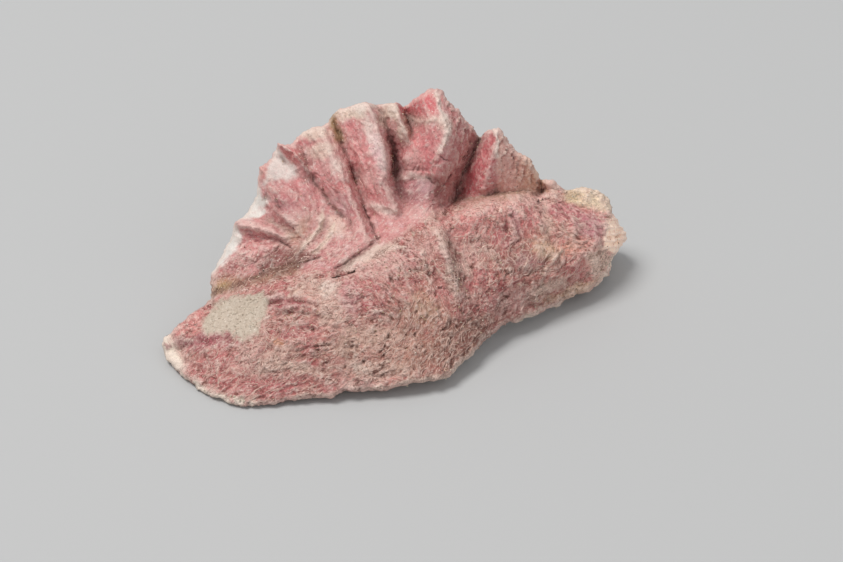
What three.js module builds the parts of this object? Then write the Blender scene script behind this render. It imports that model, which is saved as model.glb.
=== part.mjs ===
// One valve of a plicate oyster, lying as found: a long thick roll in front and, behind it, a fan of
// sharp folds that rises and leans back. The inside is a smooth hollow that faces down and back.
// Millimetres, +Z up, +X along the roll, +Y towards the fan. The valve grew as one piece.
import * as THREE from "three";

// ---- Driving dimensions ----
// The outer face is drawn over a leaning datum plane: u along it to the right, v up it, h out of it.
const FACE_TILT = THREE.MathUtils.degToRad(40); // lift of the datum plane's normal above the horizon
const FACE_TURN = THREE.MathUtils.degToRad(18); // turn of the roll's axis from the datum's u axis
const DATUM_HEIGHT = 18; // height of the datum's centre above the ground
const WALL = 6.2; // wall at the fan, square to the datum
const ROLL_WALL = 1.5; // extra wall behind the roll
const ROLL_AT = { u: -4.49, v: -3.97, su: 31.5, sv: 12.6 };
const HEEL_WALL = 17; // extra wall of the heavy right end, which stands on the ground
const HEEL_AT = { u: 34.86, v: 6.69, su: 5.7, sv: 5.5 };
const TOE_WALL = 14.5; // extra wall of the left rear corner, which stands on the ground
const TOE_AT = { u: -40.24, v: -1.91, su: 5.0, sv: 3.2 };
const INNER_FOLD = 0.45; // share of each fold that shows on the inside
const FRONT_WALL = 3.5; // extra wall under the front of the roll, which lies on the ground
const FRONT_AT = { u: -25, v: -20, su: 17, sv: 5 };
const MARGIN_RADIUS = 1.0; // rounding of the margin, outside
const BELLY_RADIUS = 4.5; // rounding of the margin, inside and below
const MARGIN_DROP = 1.8; // most that the margin lies behind the outer face
const MARGIN_LEAST = 1.2; // least wall along the margin, where it lies on the ground
const CREST_ROUND = 0.9; // half width over which crests and grooves are rounded off
const BODY_EASE = 0.6; // how freely the body surface may pass its guide points
const FOLD_EASE = 0.05;
const FOLD_STEP = 1.26; // spacing of guide points along a fold line
const RIM_POINTS = 200; // mesh density
const OUTER_RINGS = 32;
const INNER_RINGS = 14;
const CENTRE = { u: -4.52, v: 7.57 }; // where the folds gather

// Margin of the valve on the datum plane, [u, v].
const OUTLINE = [
  [-55.55, -13.6], [-54.92, -12.11], [-53.39, -11.04], [-51.27, -8.92], [-49.15, -7.22], [-47.06, -5.74],
  [-45.62, -4.68], [-44.86, -3.62], [-45.24, -1.5], [-45.35, 0.86], [-44.52, 3], [-43.44, 4.93],
  [-42.34, 6.86], [-41.23, 9.21], [-40.33, 11.13], [-39.89, 12.62], [-38.58, 13.89], [-37.06, 15.38],
  [-35.99, 17.3], [-35.35, 19.44], [-35.14, 22.01], [-34.51, 24.57], [-33.21, 25.41], [-31.92, 26.69],
  [-31.06, 28.39], [-30.85, 29.67], [-29.33, 29.01], [-27.82, 28.99], [-26.75, 30.48], [-25.25, 31.96],
  [-23.33, 32.8], [-21.4, 33.01], [-19.92, 34.08], [-19.07, 35.8], [-17.37, 36.87], [-15.23, 37.28],
  [-13.1, 37.91], [-11.39, 38.32], [-9.68, 37.66], [-7.55, 37.85], [-5.42, 38.05], [-3.72, 37.4],
  [-2.23, 38.48], [-0.32, 39.78], [1.81, 40.76], [3.3, 41.1], [4.58, 40.46], [5.43, 38.74], [6.49, 37.89],
  [7.56, 36.83], [9.05, 34.91], [10.54, 33.64], [11.61, 32.16], [12.25, 30.47], [13.32, 31.76],
  [14.61, 32.42], [16.33, 32.77], [17.41, 31.83], [18.49, 30.36], [20.02, 28.05], [21.54, 27.22],
  [23.5, 26.4], [24.61, 24.29], [25.75, 22.2], [27.11, 21.82], [28.46, 21.86], [29.6, 20.6], [31.38, 19.76],
  [33.86, 19.93], [36.16, 20.21], [38.22, 19.49], [40.04, 18.21], [41.39, 16.69], [42.03, 14.27],
  [43.58, 12.51], [45.06, 10.31], [44.79, 8.98], [43.39, 7.21], [42.46, 5.24], [41.73, 3.05], [40.98, 1.09],
  [38.9, -0.43], [36.44, -2.16], [33.77, -3.02], [31.55, -3.88], [29.78, -5.16], [26.71, -6.65],
  [23.23, -7.71], [20.64, -8.77], [18.9, -8.54], [16.74, -10.02], [14.57, -11.49], [12.63, -13.59],
  [10.69, -15.88], [8.12, -17.72], [6, -19.8], [3.89, -20.83], [0.73, -21.21], [-2.41, -21.82],
  [-4.51, -22.24], [-7.66, -22.87], [-12.89, -23.06], [-16.45, -23.26], [-17.71, -23.89], [-19.18, -24.52],
  [-21.68, -24.51], [-25.44, -24.7], [-28.56, -25.11], [-31.67, -25.82], [-34.78, -26.01], [-37.92, -25.91],
  [-40.46, -25.51], [-43.88, -24.3], [-46.92, -22.67], [-49.13, -21.04], [-50.92, -19.82], [-53.2, -17.35],
  [-54.82, -15.48],
];
// Guide points of the body's own surface, [u, v, h]: lower margin, front face, roll, foot, middle and rim of the fan.
const BODY = [
  [-55.55, -13.6, -6.82], [-50.91, -19.61, -2.3], [-44.22, -23.84, 2.58], [-35.7, -25.82, 5.1],
  [-27.41, -24.81, 4.36], [-19.08, -24.18, 4.24], [-8.66, -22.74, 3.77], [0.73, -21.31, 3.14],
  [8.09, -17.65, -0.28], [13.46, -12.72, -5.53], [19.33, -8.76, -9.95], [26.77, -6.45, -14.09],
  [33.88, -3.03, -18.17], [39.7, 0, -21.16], [42.105, 4.158, -24.55], [44.92, 9.84, -24.17],
  [-48.85, -14.56, -2.87], [-40.04, -16.52, 2.57], [-29.49, -15.42, 4.38], [-19.06, -14.37, 4.69],
  [-8.65, -12.3, 4.08], [-0.31, -11.28, 2.87], [5.98, -9.23, 0.73], [14.49, -4.02, -4.23],
  [23.11, 0.21, -8.34], [31.86, 3.43, -12.8], [38.57, 6.7, -17.01], [-44.64, -9.29, -2.93],
  [-38.15, -8.2, -0.5], [-29.62, -6.07, 1.94], [-21.19, -5.01, 3.48], [-12.83, -3.96, 4.1],
  [-4.49, -1.46, 2.99], [3.88, 1.26, 0.68], [12.36, 5.49, -3.75], [21.01, 8.74, -9.18],
  [29.71, 10.94, -12.73], [37.45, 12.73, -16.42], [-52.94, -11.03, -6.14], [-49.14, -7.43, -6.39],
  [-45.81, -4.89, -7.24], [-38.34, -3.38, -3.44], [-29.77, -0.42, -1.05], [-21.28, 1.05, 0.93],
  [-12.89, 3.35, 0.98], [-4.52, 8, -1.13], [2.85, 11.63, -3.9], [12.48, 15.78, -9.16], [21.16, 17.4, -13.58],
  [29.97, 18.39, -17.87], [36.55, 18.87, -19.38], [40.49, 16.28, -20.03], [42.22, 12.81, -19.93],
  [-44.47, -3.2, -9.26], [-36.35, 0.42, -5.48], [-27.82, 3.6, -4.29], [-19.31, 5.49, -2.8],
  [-10.87, 8.66, -3.16], [-4.57, 13.38, -6.61], [1.81, 14.67, -7.53], [7.81, 17.33, -11],
  [14.71, 18.25, -13.35], [21.24, 18.76, -15.82], [26.34, 19.73, -19.16], [-39.9, 6.63, -11.01],
  [-32.28, 11.93, -8.62], [-25.86, 16.18, -8.08], [-18.38, 19.33, -6.86], [-10.94, 23.58, -6.95],
  [-4.57, 26.77, -7.02], [3.93, 27.84, -7.04], [10.33, 24.7, -8.28], [15.09, 24.82, -11.23],
  [21.18, 22.79, -14.09], [-44.92, 1.29, -12.42], [-39.67, 12.19, -10.79], [-34.93, 21.58, -10.15],
  [-30.84, 29.03, -9.7], [-24.82, 31.96, -8.52], [-18.43, 36.01, -8.69], [-11.39, 38.1, -8.07],
  [-5.42, 37.83, -7.13], [3.3, 40.89, -8.28], [7.77, 36.83, -8.11], [12.04, 30.68, -8.56],
  [16.12, 32.45, -9.73], [21.54, 27.22, -12.22], [25.98, 21.99, -15.62], [28.93, 21.23, -18.77],
];
// Crests, grooves and steps, [u, v, rise over the body surface].
const FOLDS = [
  // crease at the left foot of the fan
  [[-44.25, -3.2, -0.8], [-39.6, -1.27, -2], [-35.28, 1.06, -2.4], [-30.98, 2.33, -2.4], [-27.8, 3.17, -2.2], [-24.6, 4.22, -1.6], [-21.85, 5.07, -1.2]],
  // lip of the roll, left
  [[-43.22, -4.67, 0.2], [-38.38, -2.75, 0.3], [-33.67, -0.42, 0.5], [-28.77, 1.05, 0.5], [-23.46, 2.31, 0.4], [-20.28, 2.73, 0.2]],
  // fold A crest
  [[-44.93, 1.72, 0.6], [-42.08, 3.85, 1], [-38.78, 6.2, 1.4], [-35.49, 7.25, 1.2], [-32.23, 7.66, 0.8], [-29.44, 8.08, 0.2]],
  // valley A-B
  [[-39.01, 7.48, -2.2], [-36.59, 8.21, -1.6], [-33.54, 8.52, -1], [-30.73, 8.29, -0.9], [-28.35, 7.43, -1.1], [-26.4, 6.57, -0.9]],
  // fold B crest
  [[-39.56, 12.4, 2.2], [-36.61, 12.06, 2.8], [-34, 11.3, 2.6], [-31.19, 10.22, 1.8], [-28.59, 9.14, 0.5]],
  // valley B-C
  [[-37.49, 14.53, -3.6], [-35.32, 13.98, -3], [-32.94, 13.22, -2.4], [-30.35, 12.14, -2.2], [-28.19, 10.85, -1.6], [-26.23, 9.13, -1], [-24.7, 7.63, -0.9]],
  // fold C crest
  [[-34.51, 24.36, 1.6], [-32.98, 21.99, 2.4], [-31.89, 19.41, 2.9], [-30.59, 16.63, 3], [-28.86, 14.06, 2.8], [-27.12, 11.7, 2.1], [-25.6, 9.77, 1.1]],
  // fold C pale flank
  [[-34.05, 19.43, -1.2], [-33.61, 17.28, -1.8], [-32.3, 15.14, -1.2]],
  // fold C panel
  [[-28.02, 19.39, 1.8], [-25.44, 16.18, 1.6], [-23.28, 13.61, 1.4], [-24.97, 11.26, 1.2]],
  // fold C lower lip
  [[-21.35, 13.17, 0.8], [-23.25, 10.83, 0.6], [-24.94, 8.91, 0.3]],
  // step under fold C
  [[-19.41, 11.67, -1.2], [-21.3, 9.11, -1.4], [-23.17, 6.56, -1.2]],
  // notch C-D
  [[-31.27, 27.54, -3.6], [-29.32, 25.8, -3.4], [-27.59, 23.87, -2.8], [-25.87, 22.36, -2.2], [-23.94, 21.92, -1.8]],
  // fold D crest
  [[-30.63, 29.46, 1.2], [-28.46, 27.93, 2.2], [-26.52, 26.52, 2.3], [-25.23, 24.48, 1.4], [-24.16, 22.98, 0]],
  // valley D-E at the margin
  [[-26.31, 29.83, -0.9], [-24.81, 27.47, -1.4], [-23.51, 24.9, -1.8]],
  // valley D-E
  [[-23.3, 22.13, -2.6], [-21.58, 19.56, -3], [-19.87, 17.64, -3], [-18.16, 15.5, -2.7], [-16.66, 13.8, -2.1], [-15.37, 11.66, -1.2]],
  // fold E crest
  [[-21.83, 32.58, 1.5], [-20.1, 29.36, 1.9], [-18.39, 25.72, 2.2], [-16.46, 21.88, 2.4], [-14.76, 18.27, 2.3], [-13.27, 14.65, 2.1], [-12.18, 11.22, 1.8], [-11.73, 9.3, 1.5]],
  // fold E foot
  [[-17.7, 11.24, 0.6], [-16.17, 8.24, 1.2], [-17.17, 5.48, 1.1], [-19.05, 4, 0.5]],
  // fold E lower edge
  [[-18.6, 3.15, 0.8], [-16.3, 4.42, 1.4], [-13.38, 6.74, 1.6], [-10.66, 8.66, 1.3]],
  // step under fold E
  [[-17.93, 2.1, -0.7], [-15.43, 3.36, -1.1], [-12.51, 5.47, -1.3], [-9.8, 7.37, -1]],
  // groove E-F
  [[-18.85, 34.94, -2.2], [-17.77, 32.13, -3.2], [-16.69, 28.92, -3.9], [-15.41, 25.71, -4.8], [-14.34, 22.94, -6], [-13.7, 21.03, -5.8], [-12.85, 18.27, -4.4], [-12, 15.72, -4], [-11.14, 13.37, -3.8], [-10.06, 11.22, -3.2], [-9.18, 9.08, -1.8]],
  // fold F crest
  [[-11.17, 37.67, 2], [-10.1, 34.23, 2.8], [-9.03, 31.02, 3.2], [-7.97, 27.83, 3.5], [-7.33, 25.08, 3.5], [-7.44, 22.75, 3.2], [-6.92, 20.64, 2.8], [-6.07, 18.09, 2.2], [-5.21, 15.74, 1.4]],
  // fold F panel
  [[-15.23, 36.42, 0.8], [-13.93, 32.11, 0.9], [-12.43, 27.83, 1], [-10.94, 23.58, 1], [-9.67, 19.35, 0.8], [-8.4, 16.16, 0.6]],
  // groove F-G
  [[-9.46, 37.01, -1.6], [-8.18, 34, -3], [-6.9, 30.8, -4.4], [-6.05, 27.83, -6.2], [-5.74, 25.3, -6.8], [-5.96, 22.76, -6.4], [-5.43, 20.44, -4.4], [-4.58, 17.89, -3], [-3.72, 15.75, -1.8]],
  // fold G crest
  [[-5.84, 37.62, 1.4], [-4.78, 35.05, 1.5], [-3.72, 32.49, 1.2], [-2.87, 30.37, 0.4]],
  // groove G-H
  [[-3.93, 36.97, -3.4], [-2.87, 34.62, -4.4], [-2.23, 32.07, -3.2], [-2.02, 29.95, -1]],
  // fold H crest
  [[3.51, 40.67, 2.4], [3.72, 38.3, 3], [4.15, 35.72, 3.2], [5.21, 33.15, 3.6], [5.84, 31.24, 3.6], [4.99, 29.11, 3.4], [4.36, 26.58, 3.2], [4.37, 24.07, 3], [3.52, 22.18, 2.2]],
  // fold H panel
  [[-0.32, 39.35, 1.6], [0.53, 35.91, 1.8], [1.17, 32.07, 1.6], [1.17, 27.84, 1.4], [0.53, 24.06, 1.2]],
  // fold H left edge
  [[-3.51, 26.15, -1], [-2.45, 23.2, -0.2], [-1.59, 27.84, 0]],
  // growth step on fold H
  [[-3.73, 21.72, -1.4], [-1.6, 21.73, -0.5], [0.53, 21.53, 0.5], [2.45, 20.91, 1.4]],
  // fold H foot
  [[-2.88, 18.96, 0], [-0.75, 18.98, 0.9], [1.17, 18.56, 1.5], [1.17, 16.41, 1.3], [-1.38, 16.18, 0.7]],
  // fold H right flank
  [[7.34, 33.82, 1.2], [7.97, 30.4, 0.6], [7.34, 26.79, 0.3], [6.29, 23.65, 0.2], [5.23, 20.51, -1.2], [4.81, 17.73, -2.2]],
  // fold H right margin
  [[6.28, 37.89, 1.2], [7.56, 36.61, 0.4], [9.05, 34.7, -0.8], [10.75, 33.22, -2.2], [11.61, 31.52, -3.6]],
  // valley H-I
  [[12.25, 30.04, -5.2], [11.18, 27.46, -6], [9.9, 25.12, -6.2], [8.43, 22.61, -5.8], [7.59, 19.89, -5.6], [7.38, 17.32, -5.4], [6.08, 15.57, -4.4]],
  // fold I crest
  [[15.9, 32.23, 1.4], [15.91, 29.68, 1.9], [15.49, 27.35, 2], [14.87, 24.82, 1.9], [14.26, 22.08, 1.7], [13.41, 19.52, 1.2]],
  // fold I left flank
  [[13.75, 30.92, -1.2], [13.11, 27.51, -1.8], [11.84, 24.11, -2.4], [10.8, 21.17, -3], [10.16, 18.18, -3.6]],
  // fold I right margin
  [[17.41, 31.4, 0.8], [18.71, 29.73, 0.3], [20.02, 27.84, -0.1], [21.54, 27.01, -0.4], [23.5, 26.18, -1], [24.83, 23.87, -1.4], [25.76, 21.99, -1.8]],
  // fold I right flank
  [[18.53, 25.93, 0.5], [19.67, 22.57, 0.2], [22.3, 21.54, -0.6], [24.53, 20.1, -1.6], [17.97, 20.01, 0.2]],
  // valley behind the roll
  [[3.93, 14.03, -1.6], [6.5, 15.13, -2.6], [10.36, 16.55, -2.5], [14.7, 17.81, -2.1], [18.61, 18.61, -1.7], [23.43, 18.57, -1.5], [25.9, 19.5, -1.6]],
  // roll crest, right
  [[4.56, 12.72, 0.7], [7.13, 14.48, 1.1], [10.55, 15.57, 1.2], [14.67, 16.71, 1.2], [18.58, 17.62, 1.2], [23.4, 17.47, 1], [26.77, 18.21, 0.8]],
  // gap beside the knob
  [[26.52, 20.56, -1.2], [26.56, 19.51, -1.2]],
  // knob
  [[27.6, 21, 0.8], [28.71, 21.02, 0.9], [28.3, 19.73, 0.7]],
  // encrusted shoulder
  [[32.71, 18.91, 0.4], [36.37, 18.57, 1], [39.31, 16.64, 0.8]],
  // foot of the shoulder
  [[30.04, 19.31, -0.3], [31.34, 17.57, -0.3], [34.46, 16.09, -0.3], [37.84, 14.61, -0.2]],
  // white bevel, lower
  [[-44.3, 3.22, -2.6], [-43, 5.58, -4.2], [-41.67, 8.14, -5], [-40.78, 10.06, -4.4]],
  // white bevel, lower inner
  [[-41.44, 5.35, -1.2], [-39.9, 7.7, -1.6], [-39.24, 10.05, -1]],
  // white bevel, middle
  [[-38.14, 14.21, -3.8], [-36.63, 16.02, -5.6], [-35.78, 18.15, -5.8], [-35.35, 20.29, -4.4], [-34.93, 22.22, -2.2]],
  // white bevel, upper
  [[-33.64, 24.99, -2], [-32.35, 26.05, -3.8], [-31.27, 27.96, -4.2]],
  // rib down the front
  [[2.23, 14.24, 0.6], [3.49, 11.2, 1], [4.74, 8.22, 1.2], [5.78, 5.26, 1.2], [6.83, 2.31, 1.2], [7.67, -0.63, 1.1], [8.3, -3.36, 0.8], [8.72, -5.26, 0.3]],
  // furrow beside the rib
  [[5.17, 9.49, -0.7], [6.63, 6.11, -1], [8.1, 2.31, -1.1], [9.15, -0.84, -1], [9.78, -3.58, -0.6]],
  // left foot of the rib
  [[1.37, 9.48, 0], [3.05, 5.25, -0.2], [4.93, 0.63, -0.2], [5.98, -2.31, -0.2]],
  // pale strip under fold E
  [[-16.25, 2.52, 0.1], [-13.32, 3.57, 0.2], [-9.77, 5.25, 0.3], [-6.21, 7.36, 0.4]],
  // shoulder of the left facet
  [[-52.87, -13.56, 0.4], [-46.72, -12.02, 0.9], [-39.76, -11.33, 1], [-33.35, -10.45, 0.7], [-27.46, -8.56, 0.3]],
  // left facet
  [[-43.66, -7.4, 0.2], [-39.34, -5.7, 0.3], [-35.65, -4.84, 0.3]],
  // step at the right end
  [[40.34, 12.9, 0.6], [40.71, 10.48, 0.9], [40.16, 7.84, 0.6]],
  // right tip
  [[41.97, 12.49, -0.7], [42.2, 10.06, -1], [41.67, 7.64, -0.8]],
];
// Places on the front face that keep the body's own surface, [u, v].
const LEVEL = [
  [-46.54, -18.7], [-41.08, -21.74], [-35.78, -17.53], [-34.75, -22.75], [-30.55, -13.35], [-29.55, -21.72],
  [-23.31, -21.74], [-17.02, -18.59], [-14.9, -13.34], [-15.96, -3.96], [-9.71, -0.84], [-7.61, -6.05],
  [-6.57, -12.31], [-9.73, -19.68], [-2.41, 3.35], [-1.36, -3.97], [-0.31, -9.19], [-0.31, -16.54],
  [4.93, -13.43], [11.3, -8.24], [12.35, 2.32], [12.4, 9.75], [17.8, 11.94], [17.72, 5.52], [17.72, -1.91],
  [23.2, 9.84], [24.22, 3.41], [25.34, -2.99], [29.92, 14.26], [29.74, 7.73], [31.94, 1.29], [35.38, 9.95],
  [36.42, 3.46], [-21.22, -1.88], [-25.44, -2.93], [-4.55, 10.78],
];

// ---- Surfaces ----
// Solves a dense linear system by elimination with row pivoting.
function solve(a, b) {
  const n = b.length;
  for (let c = 0; c < n; c++) {
    let p = c;
    for (let r = c + 1; r < n; r++) if (Math.abs(a[r][c]) > Math.abs(a[p][c])) p = r;
    [a[c], a[p]] = [a[p], a[c]];
    [b[c], b[p]] = [b[p], b[c]];
    const row = a[c];
    for (let r = c + 1; r < n; r++) {
      const k = a[r][c] / row[c];
      if (k === 0) continue;
      const other = a[r];
      for (let j = c; j < n; j++) other[j] -= k * row[j];
      b[r] -= k * b[c];
    }
  }
  const x = new Float64Array(n);
  for (let r = n - 1; r >= 0; r--) {
    let s = b[r];
    for (let j = r + 1; j < n; j++) s -= a[r][j] * x[j];
    x[r] = s / a[r][r];
  }
  return x;
}

// A surface through scattered guide points: a sum of radial terms and a plane.
function surfaceThrough(points, radial, ease) {
  const n = points.length;
  const a = Array.from({ length: n + 3 }, () => new Float64Array(n + 3));
  const b = new Float64Array(n + 3);
  points.forEach(([u, v, w], i) => {
    points.forEach(([u2, v2], j) => (a[i][j] = radial((u - u2) ** 2 + (v - v2) ** 2)));
    a[i][i] += ease;
    [1, u, v].forEach((t, k) => (a[i][n + k] = a[n + k][i] = t));
    b[i] = w;
  });
  const c = solve(a, Array.from(b));
  return (u, v) => {
    let s = c[n] + c[n + 1] * u + c[n + 2] * v;
    for (let i = 0; i < n; i++) s += c[i] * radial((u - points[i][0]) ** 2 + (v - points[i][1]) ** 2);
    return s;
  };
}

// Points along a line of guide points, at most `step` apart.
function along(line, step) {
  const out = [line[0]];
  for (let i = 1; i < line.length; i++) {
    const [p, q] = [line[i - 1], line[i]];
    const n = Math.max(1, Math.ceil(Math.hypot(q[0] - p[0], q[1] - p[1]) / step));
    for (let k = 1; k <= n; k++) out.push(p.map((x, d) => x + ((q[d] - x) * k) / n));
  }
  return out;
}

const bodyAt = surfaceThrough(BODY, (r2) => 0.5 * r2 * Math.log(r2 + 1e-12), BODY_EASE);
const foldAt = surfaceThrough(
  [...FOLDS.flatMap((line) => along(line, FOLD_STEP)), ...LEVEL.map(([u, v]) => [u, v, 0])],
  (r2) => -Math.sqrt(r2 + 0.09),
  FOLD_EASE,
);
const roundedFoldAt = (u, v) =>
  0.28 * foldAt(u, v) +
  0.18 * (foldAt(u + CREST_ROUND, v) + foldAt(u - CREST_ROUND, v) + foldAt(u, v + CREST_ROUND) + foldAt(u, v - CREST_ROUND));

const rim = along([...OUTLINE, OUTLINE[0]], 0.63).slice(0, -1).reverse(); // anticlockwise, seen from outside
const lengths = [0];
rim.forEach((p, i) => {
  const q = rim[(i + 1) % rim.length];
  lengths.push(lengths[i] + Math.hypot(q[0] - p[0], q[1] - p[1]));
});
function rimPoint(t) {
  const s = t * lengths[rim.length];
  let i = 0;
  while (i < rim.length - 1 && lengths[i + 1] <= s) i++;
  const [p, q] = [rim[i], rim[(i + 1) % rim.length]];
  const k = (s - lengths[i]) / (lengths[i + 1] - lengths[i]);
  return [p[0] + (q[0] - p[0]) * k, p[1] + (q[1] - p[1]) * k];
}
function fromRim(u, v) {
  let best = Infinity;
  rim.forEach((p, i) => {
    const q = rim[(i + 1) % rim.length];
    const [du, dv] = [q[0] - p[0], q[1] - p[1]];
    const t = Math.min(1, Math.max(0, ((u - p[0]) * du + (v - p[1]) * dv) / (du * du + dv * dv)));
    best = Math.min(best, Math.hypot(p[0] + t * du - u, p[1] + t * dv - v));
  });
  return best;
}

const [SIN, COS] = [Math.sin(FACE_TILT), Math.cos(FACE_TILT)];
const groundAt = (v) => -(DATUM_HEIGHT + v * COS) / SIN; // h of the ground under a datum point
const bump = (u, v, b) => Math.exp(-((u - b.u) ** 2) / (2 * b.su ** 2) - (v - b.v) ** 2 / (2 * b.sv ** 2));

// Outside and inside of the wall at a datum point, as h.
function wallAt(u, v, onRim) {
  const body = bodyAt(u, v);
  const fold = roundedFoldAt(u, v);
  const ground = groundAt(v);
  const wall = WALL + ROLL_WALL * bump(u, v, ROLL_AT) + HEEL_WALL * bump(u, v, HEEL_AT) + TOE_WALL * bump(u, v, TOE_AT) + FRONT_WALL * bump(u, v, FRONT_AT);
  const outside = Math.max(body + fold, ground + MARGIN_LEAST);
  const inside = Math.max(body + INNER_FOLD * fold - wall, ground);
  const middle = Math.max((outside + inside) / 2, outside - MARGIN_DROP);
  if (onRim) return [middle, middle];
  const gap = fromRim(u, v);
  const round = (radius) => 1 - Math.sqrt(1 - (1 - Math.min(1, gap / radius)) ** 2);
  return [outside + (middle - outside) * round(MARGIN_RADIUS), inside + (middle - inside) * round(BELLY_RADIUS)];
}

// ---- Mesh ----
// Rings of points from the centre out to the margin, and the triangles between one ring and the next.
function ringsOf(count, power) {
  const rings = [[{ t: 0, u: CENTRE.u, v: CENTRE.v }]];
  for (let k = 1; k <= count; k++) {
    const n = k === count ? RIM_POINTS : Math.max(6, Math.round((RIM_POINTS * k) / count));
    const share = (k / count) ** power;
    rings.push(
      Array.from({ length: n }, (_, i) => {
        const [u, v] = rimPoint(i / n);
        return { t: i / n, u: CENTRE.u + (u - CENTRE.u) * share, v: CENTRE.v + (v - CENTRE.v) * share };
      }),
    );
  }
  return rings;
}
function between(inner, outer, add) {
  const [na, nb] = [inner.length, outer.length];
  if (na === 1) return outer.forEach((p, j) => add(inner[0], p, outer[(j + 1) % nb]));
  let [i, j] = [0, 0];
  while (i < na || j < nb) {
    const nextA = i + 1 < na ? inner[i + 1].t : i < na ? 1 : 9;
    const nextB = j + 1 < nb ? outer[j + 1].t : j < nb ? 1 : 9;
    if (j < nb && (i >= na || nextB <= nextA)) {
      add(inner[i % na], outer[j % nb], outer[(j + 1) % nb]);
      j++;
    } else {
      add(inner[i % na], outer[j % nb], inner[(i + 1) % na]);
      i++;
    }
  }
}

const positions = [];
function place(point, h) {
  const [x, y] = [point.u, point.v * SIN - h * COS];
  let z = DATUM_HEIGHT + point.v * COS + h * SIN;
  if (Math.abs(z) < 1e-6) z = 0;
  point.index = positions.length / 3;
  positions.push(
    x * Math.cos(FACE_TURN) + y * Math.sin(FACE_TURN),
    -x * Math.sin(FACE_TURN) + y * Math.cos(FACE_TURN),
    z,
  );
}
const outer = ringsOf(OUTER_RINGS, 1);
const inner = ringsOf(INNER_RINGS, 0.7);
outer.forEach((ring, k) => ring.forEach((p) => place(p, wallAt(p.u, p.v, k === OUTER_RINGS)[0])));
inner.slice(0, -1).forEach((ring) => ring.forEach((p) => place(p, wallAt(p.u, p.v, false)[1])));
inner[INNER_RINGS] = outer[OUTER_RINGS]; // both faces meet along the margin

const triangles = [];
for (let k = 0; k < OUTER_RINGS; k++)
  between(outer[k], outer[k + 1], (a, b, c) => triangles.push(a.index, b.index, c.index));
for (let k = 0; k < INNER_RINGS; k++)
  between(inner[k], inner[k + 1], (a, b, c) => triangles.push(a.index, c.index, b.index));

const geometry = new THREE.BufferGeometry();
geometry.setAttribute("position", new THREE.Float32BufferAttribute(positions, 3));
geometry.setIndex(triangles);
geometry.computeBoundingBox();
const box = geometry.boundingBox;
geometry.translate(-(box.min.x + box.max.x) / 2, -(box.min.y + box.max.y) / 2, 0); // footprint centred on the origin
geometry.computeVertexNormals();

const valve = new THREE.Mesh(
  geometry,
  new THREE.MeshStandardMaterial({ color: 0xc08a86, roughness: 0.88, metalness: 0 }),
);
valve.name = "valve";

const shell = new THREE.Group();
shell.add(valve);
export default shell;
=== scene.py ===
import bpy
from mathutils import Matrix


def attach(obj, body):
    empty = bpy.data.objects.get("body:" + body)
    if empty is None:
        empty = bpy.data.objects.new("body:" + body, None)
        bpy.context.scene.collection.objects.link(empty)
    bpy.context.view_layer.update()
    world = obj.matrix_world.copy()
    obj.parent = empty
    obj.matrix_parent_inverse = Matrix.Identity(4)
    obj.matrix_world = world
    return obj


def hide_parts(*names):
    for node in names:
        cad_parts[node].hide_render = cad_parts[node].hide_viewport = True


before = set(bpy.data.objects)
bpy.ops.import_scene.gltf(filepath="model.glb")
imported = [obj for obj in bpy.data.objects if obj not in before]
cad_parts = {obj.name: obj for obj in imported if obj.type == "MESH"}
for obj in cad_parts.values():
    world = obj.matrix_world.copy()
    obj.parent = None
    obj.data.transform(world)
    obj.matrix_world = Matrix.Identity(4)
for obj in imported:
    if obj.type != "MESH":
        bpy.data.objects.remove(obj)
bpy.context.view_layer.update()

# One valve of a plicate oyster: its outer face is a relief over a leaning datum plane (u right, v up, h out),
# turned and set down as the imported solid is. Lengths are millimetres until a mesh is made.
import math
import bpy
import numpy as np
from mathutils import Vector
from mathutils.bvhtree import BVHTree
from mathutils.kdtree import KDTree

TILT, TURN, DATUM = math.radians(40), math.radians(18), 18.0
SHIFT = (-1.043894, 11.256360)  # footprint's centre before it is put on the origin
VIEW_DISTANCE, VIEW_SCALE = 590.0, 0.21  # the face is described in steps of 0.21 mm, as seen from 590 mm
WALL, INNER_FOLD, MARGIN_RADIUS, BELLY_RADIUS, MARGIN_DROP, MARGIN_LEAST = 6.2, 0.45, 1.0, 4.5, 1.8, 1.2
RIM, OUTER_RINGS, INNER_RINGS = 1040, 160, 28
rng = np.random.default_rng(20)

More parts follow.
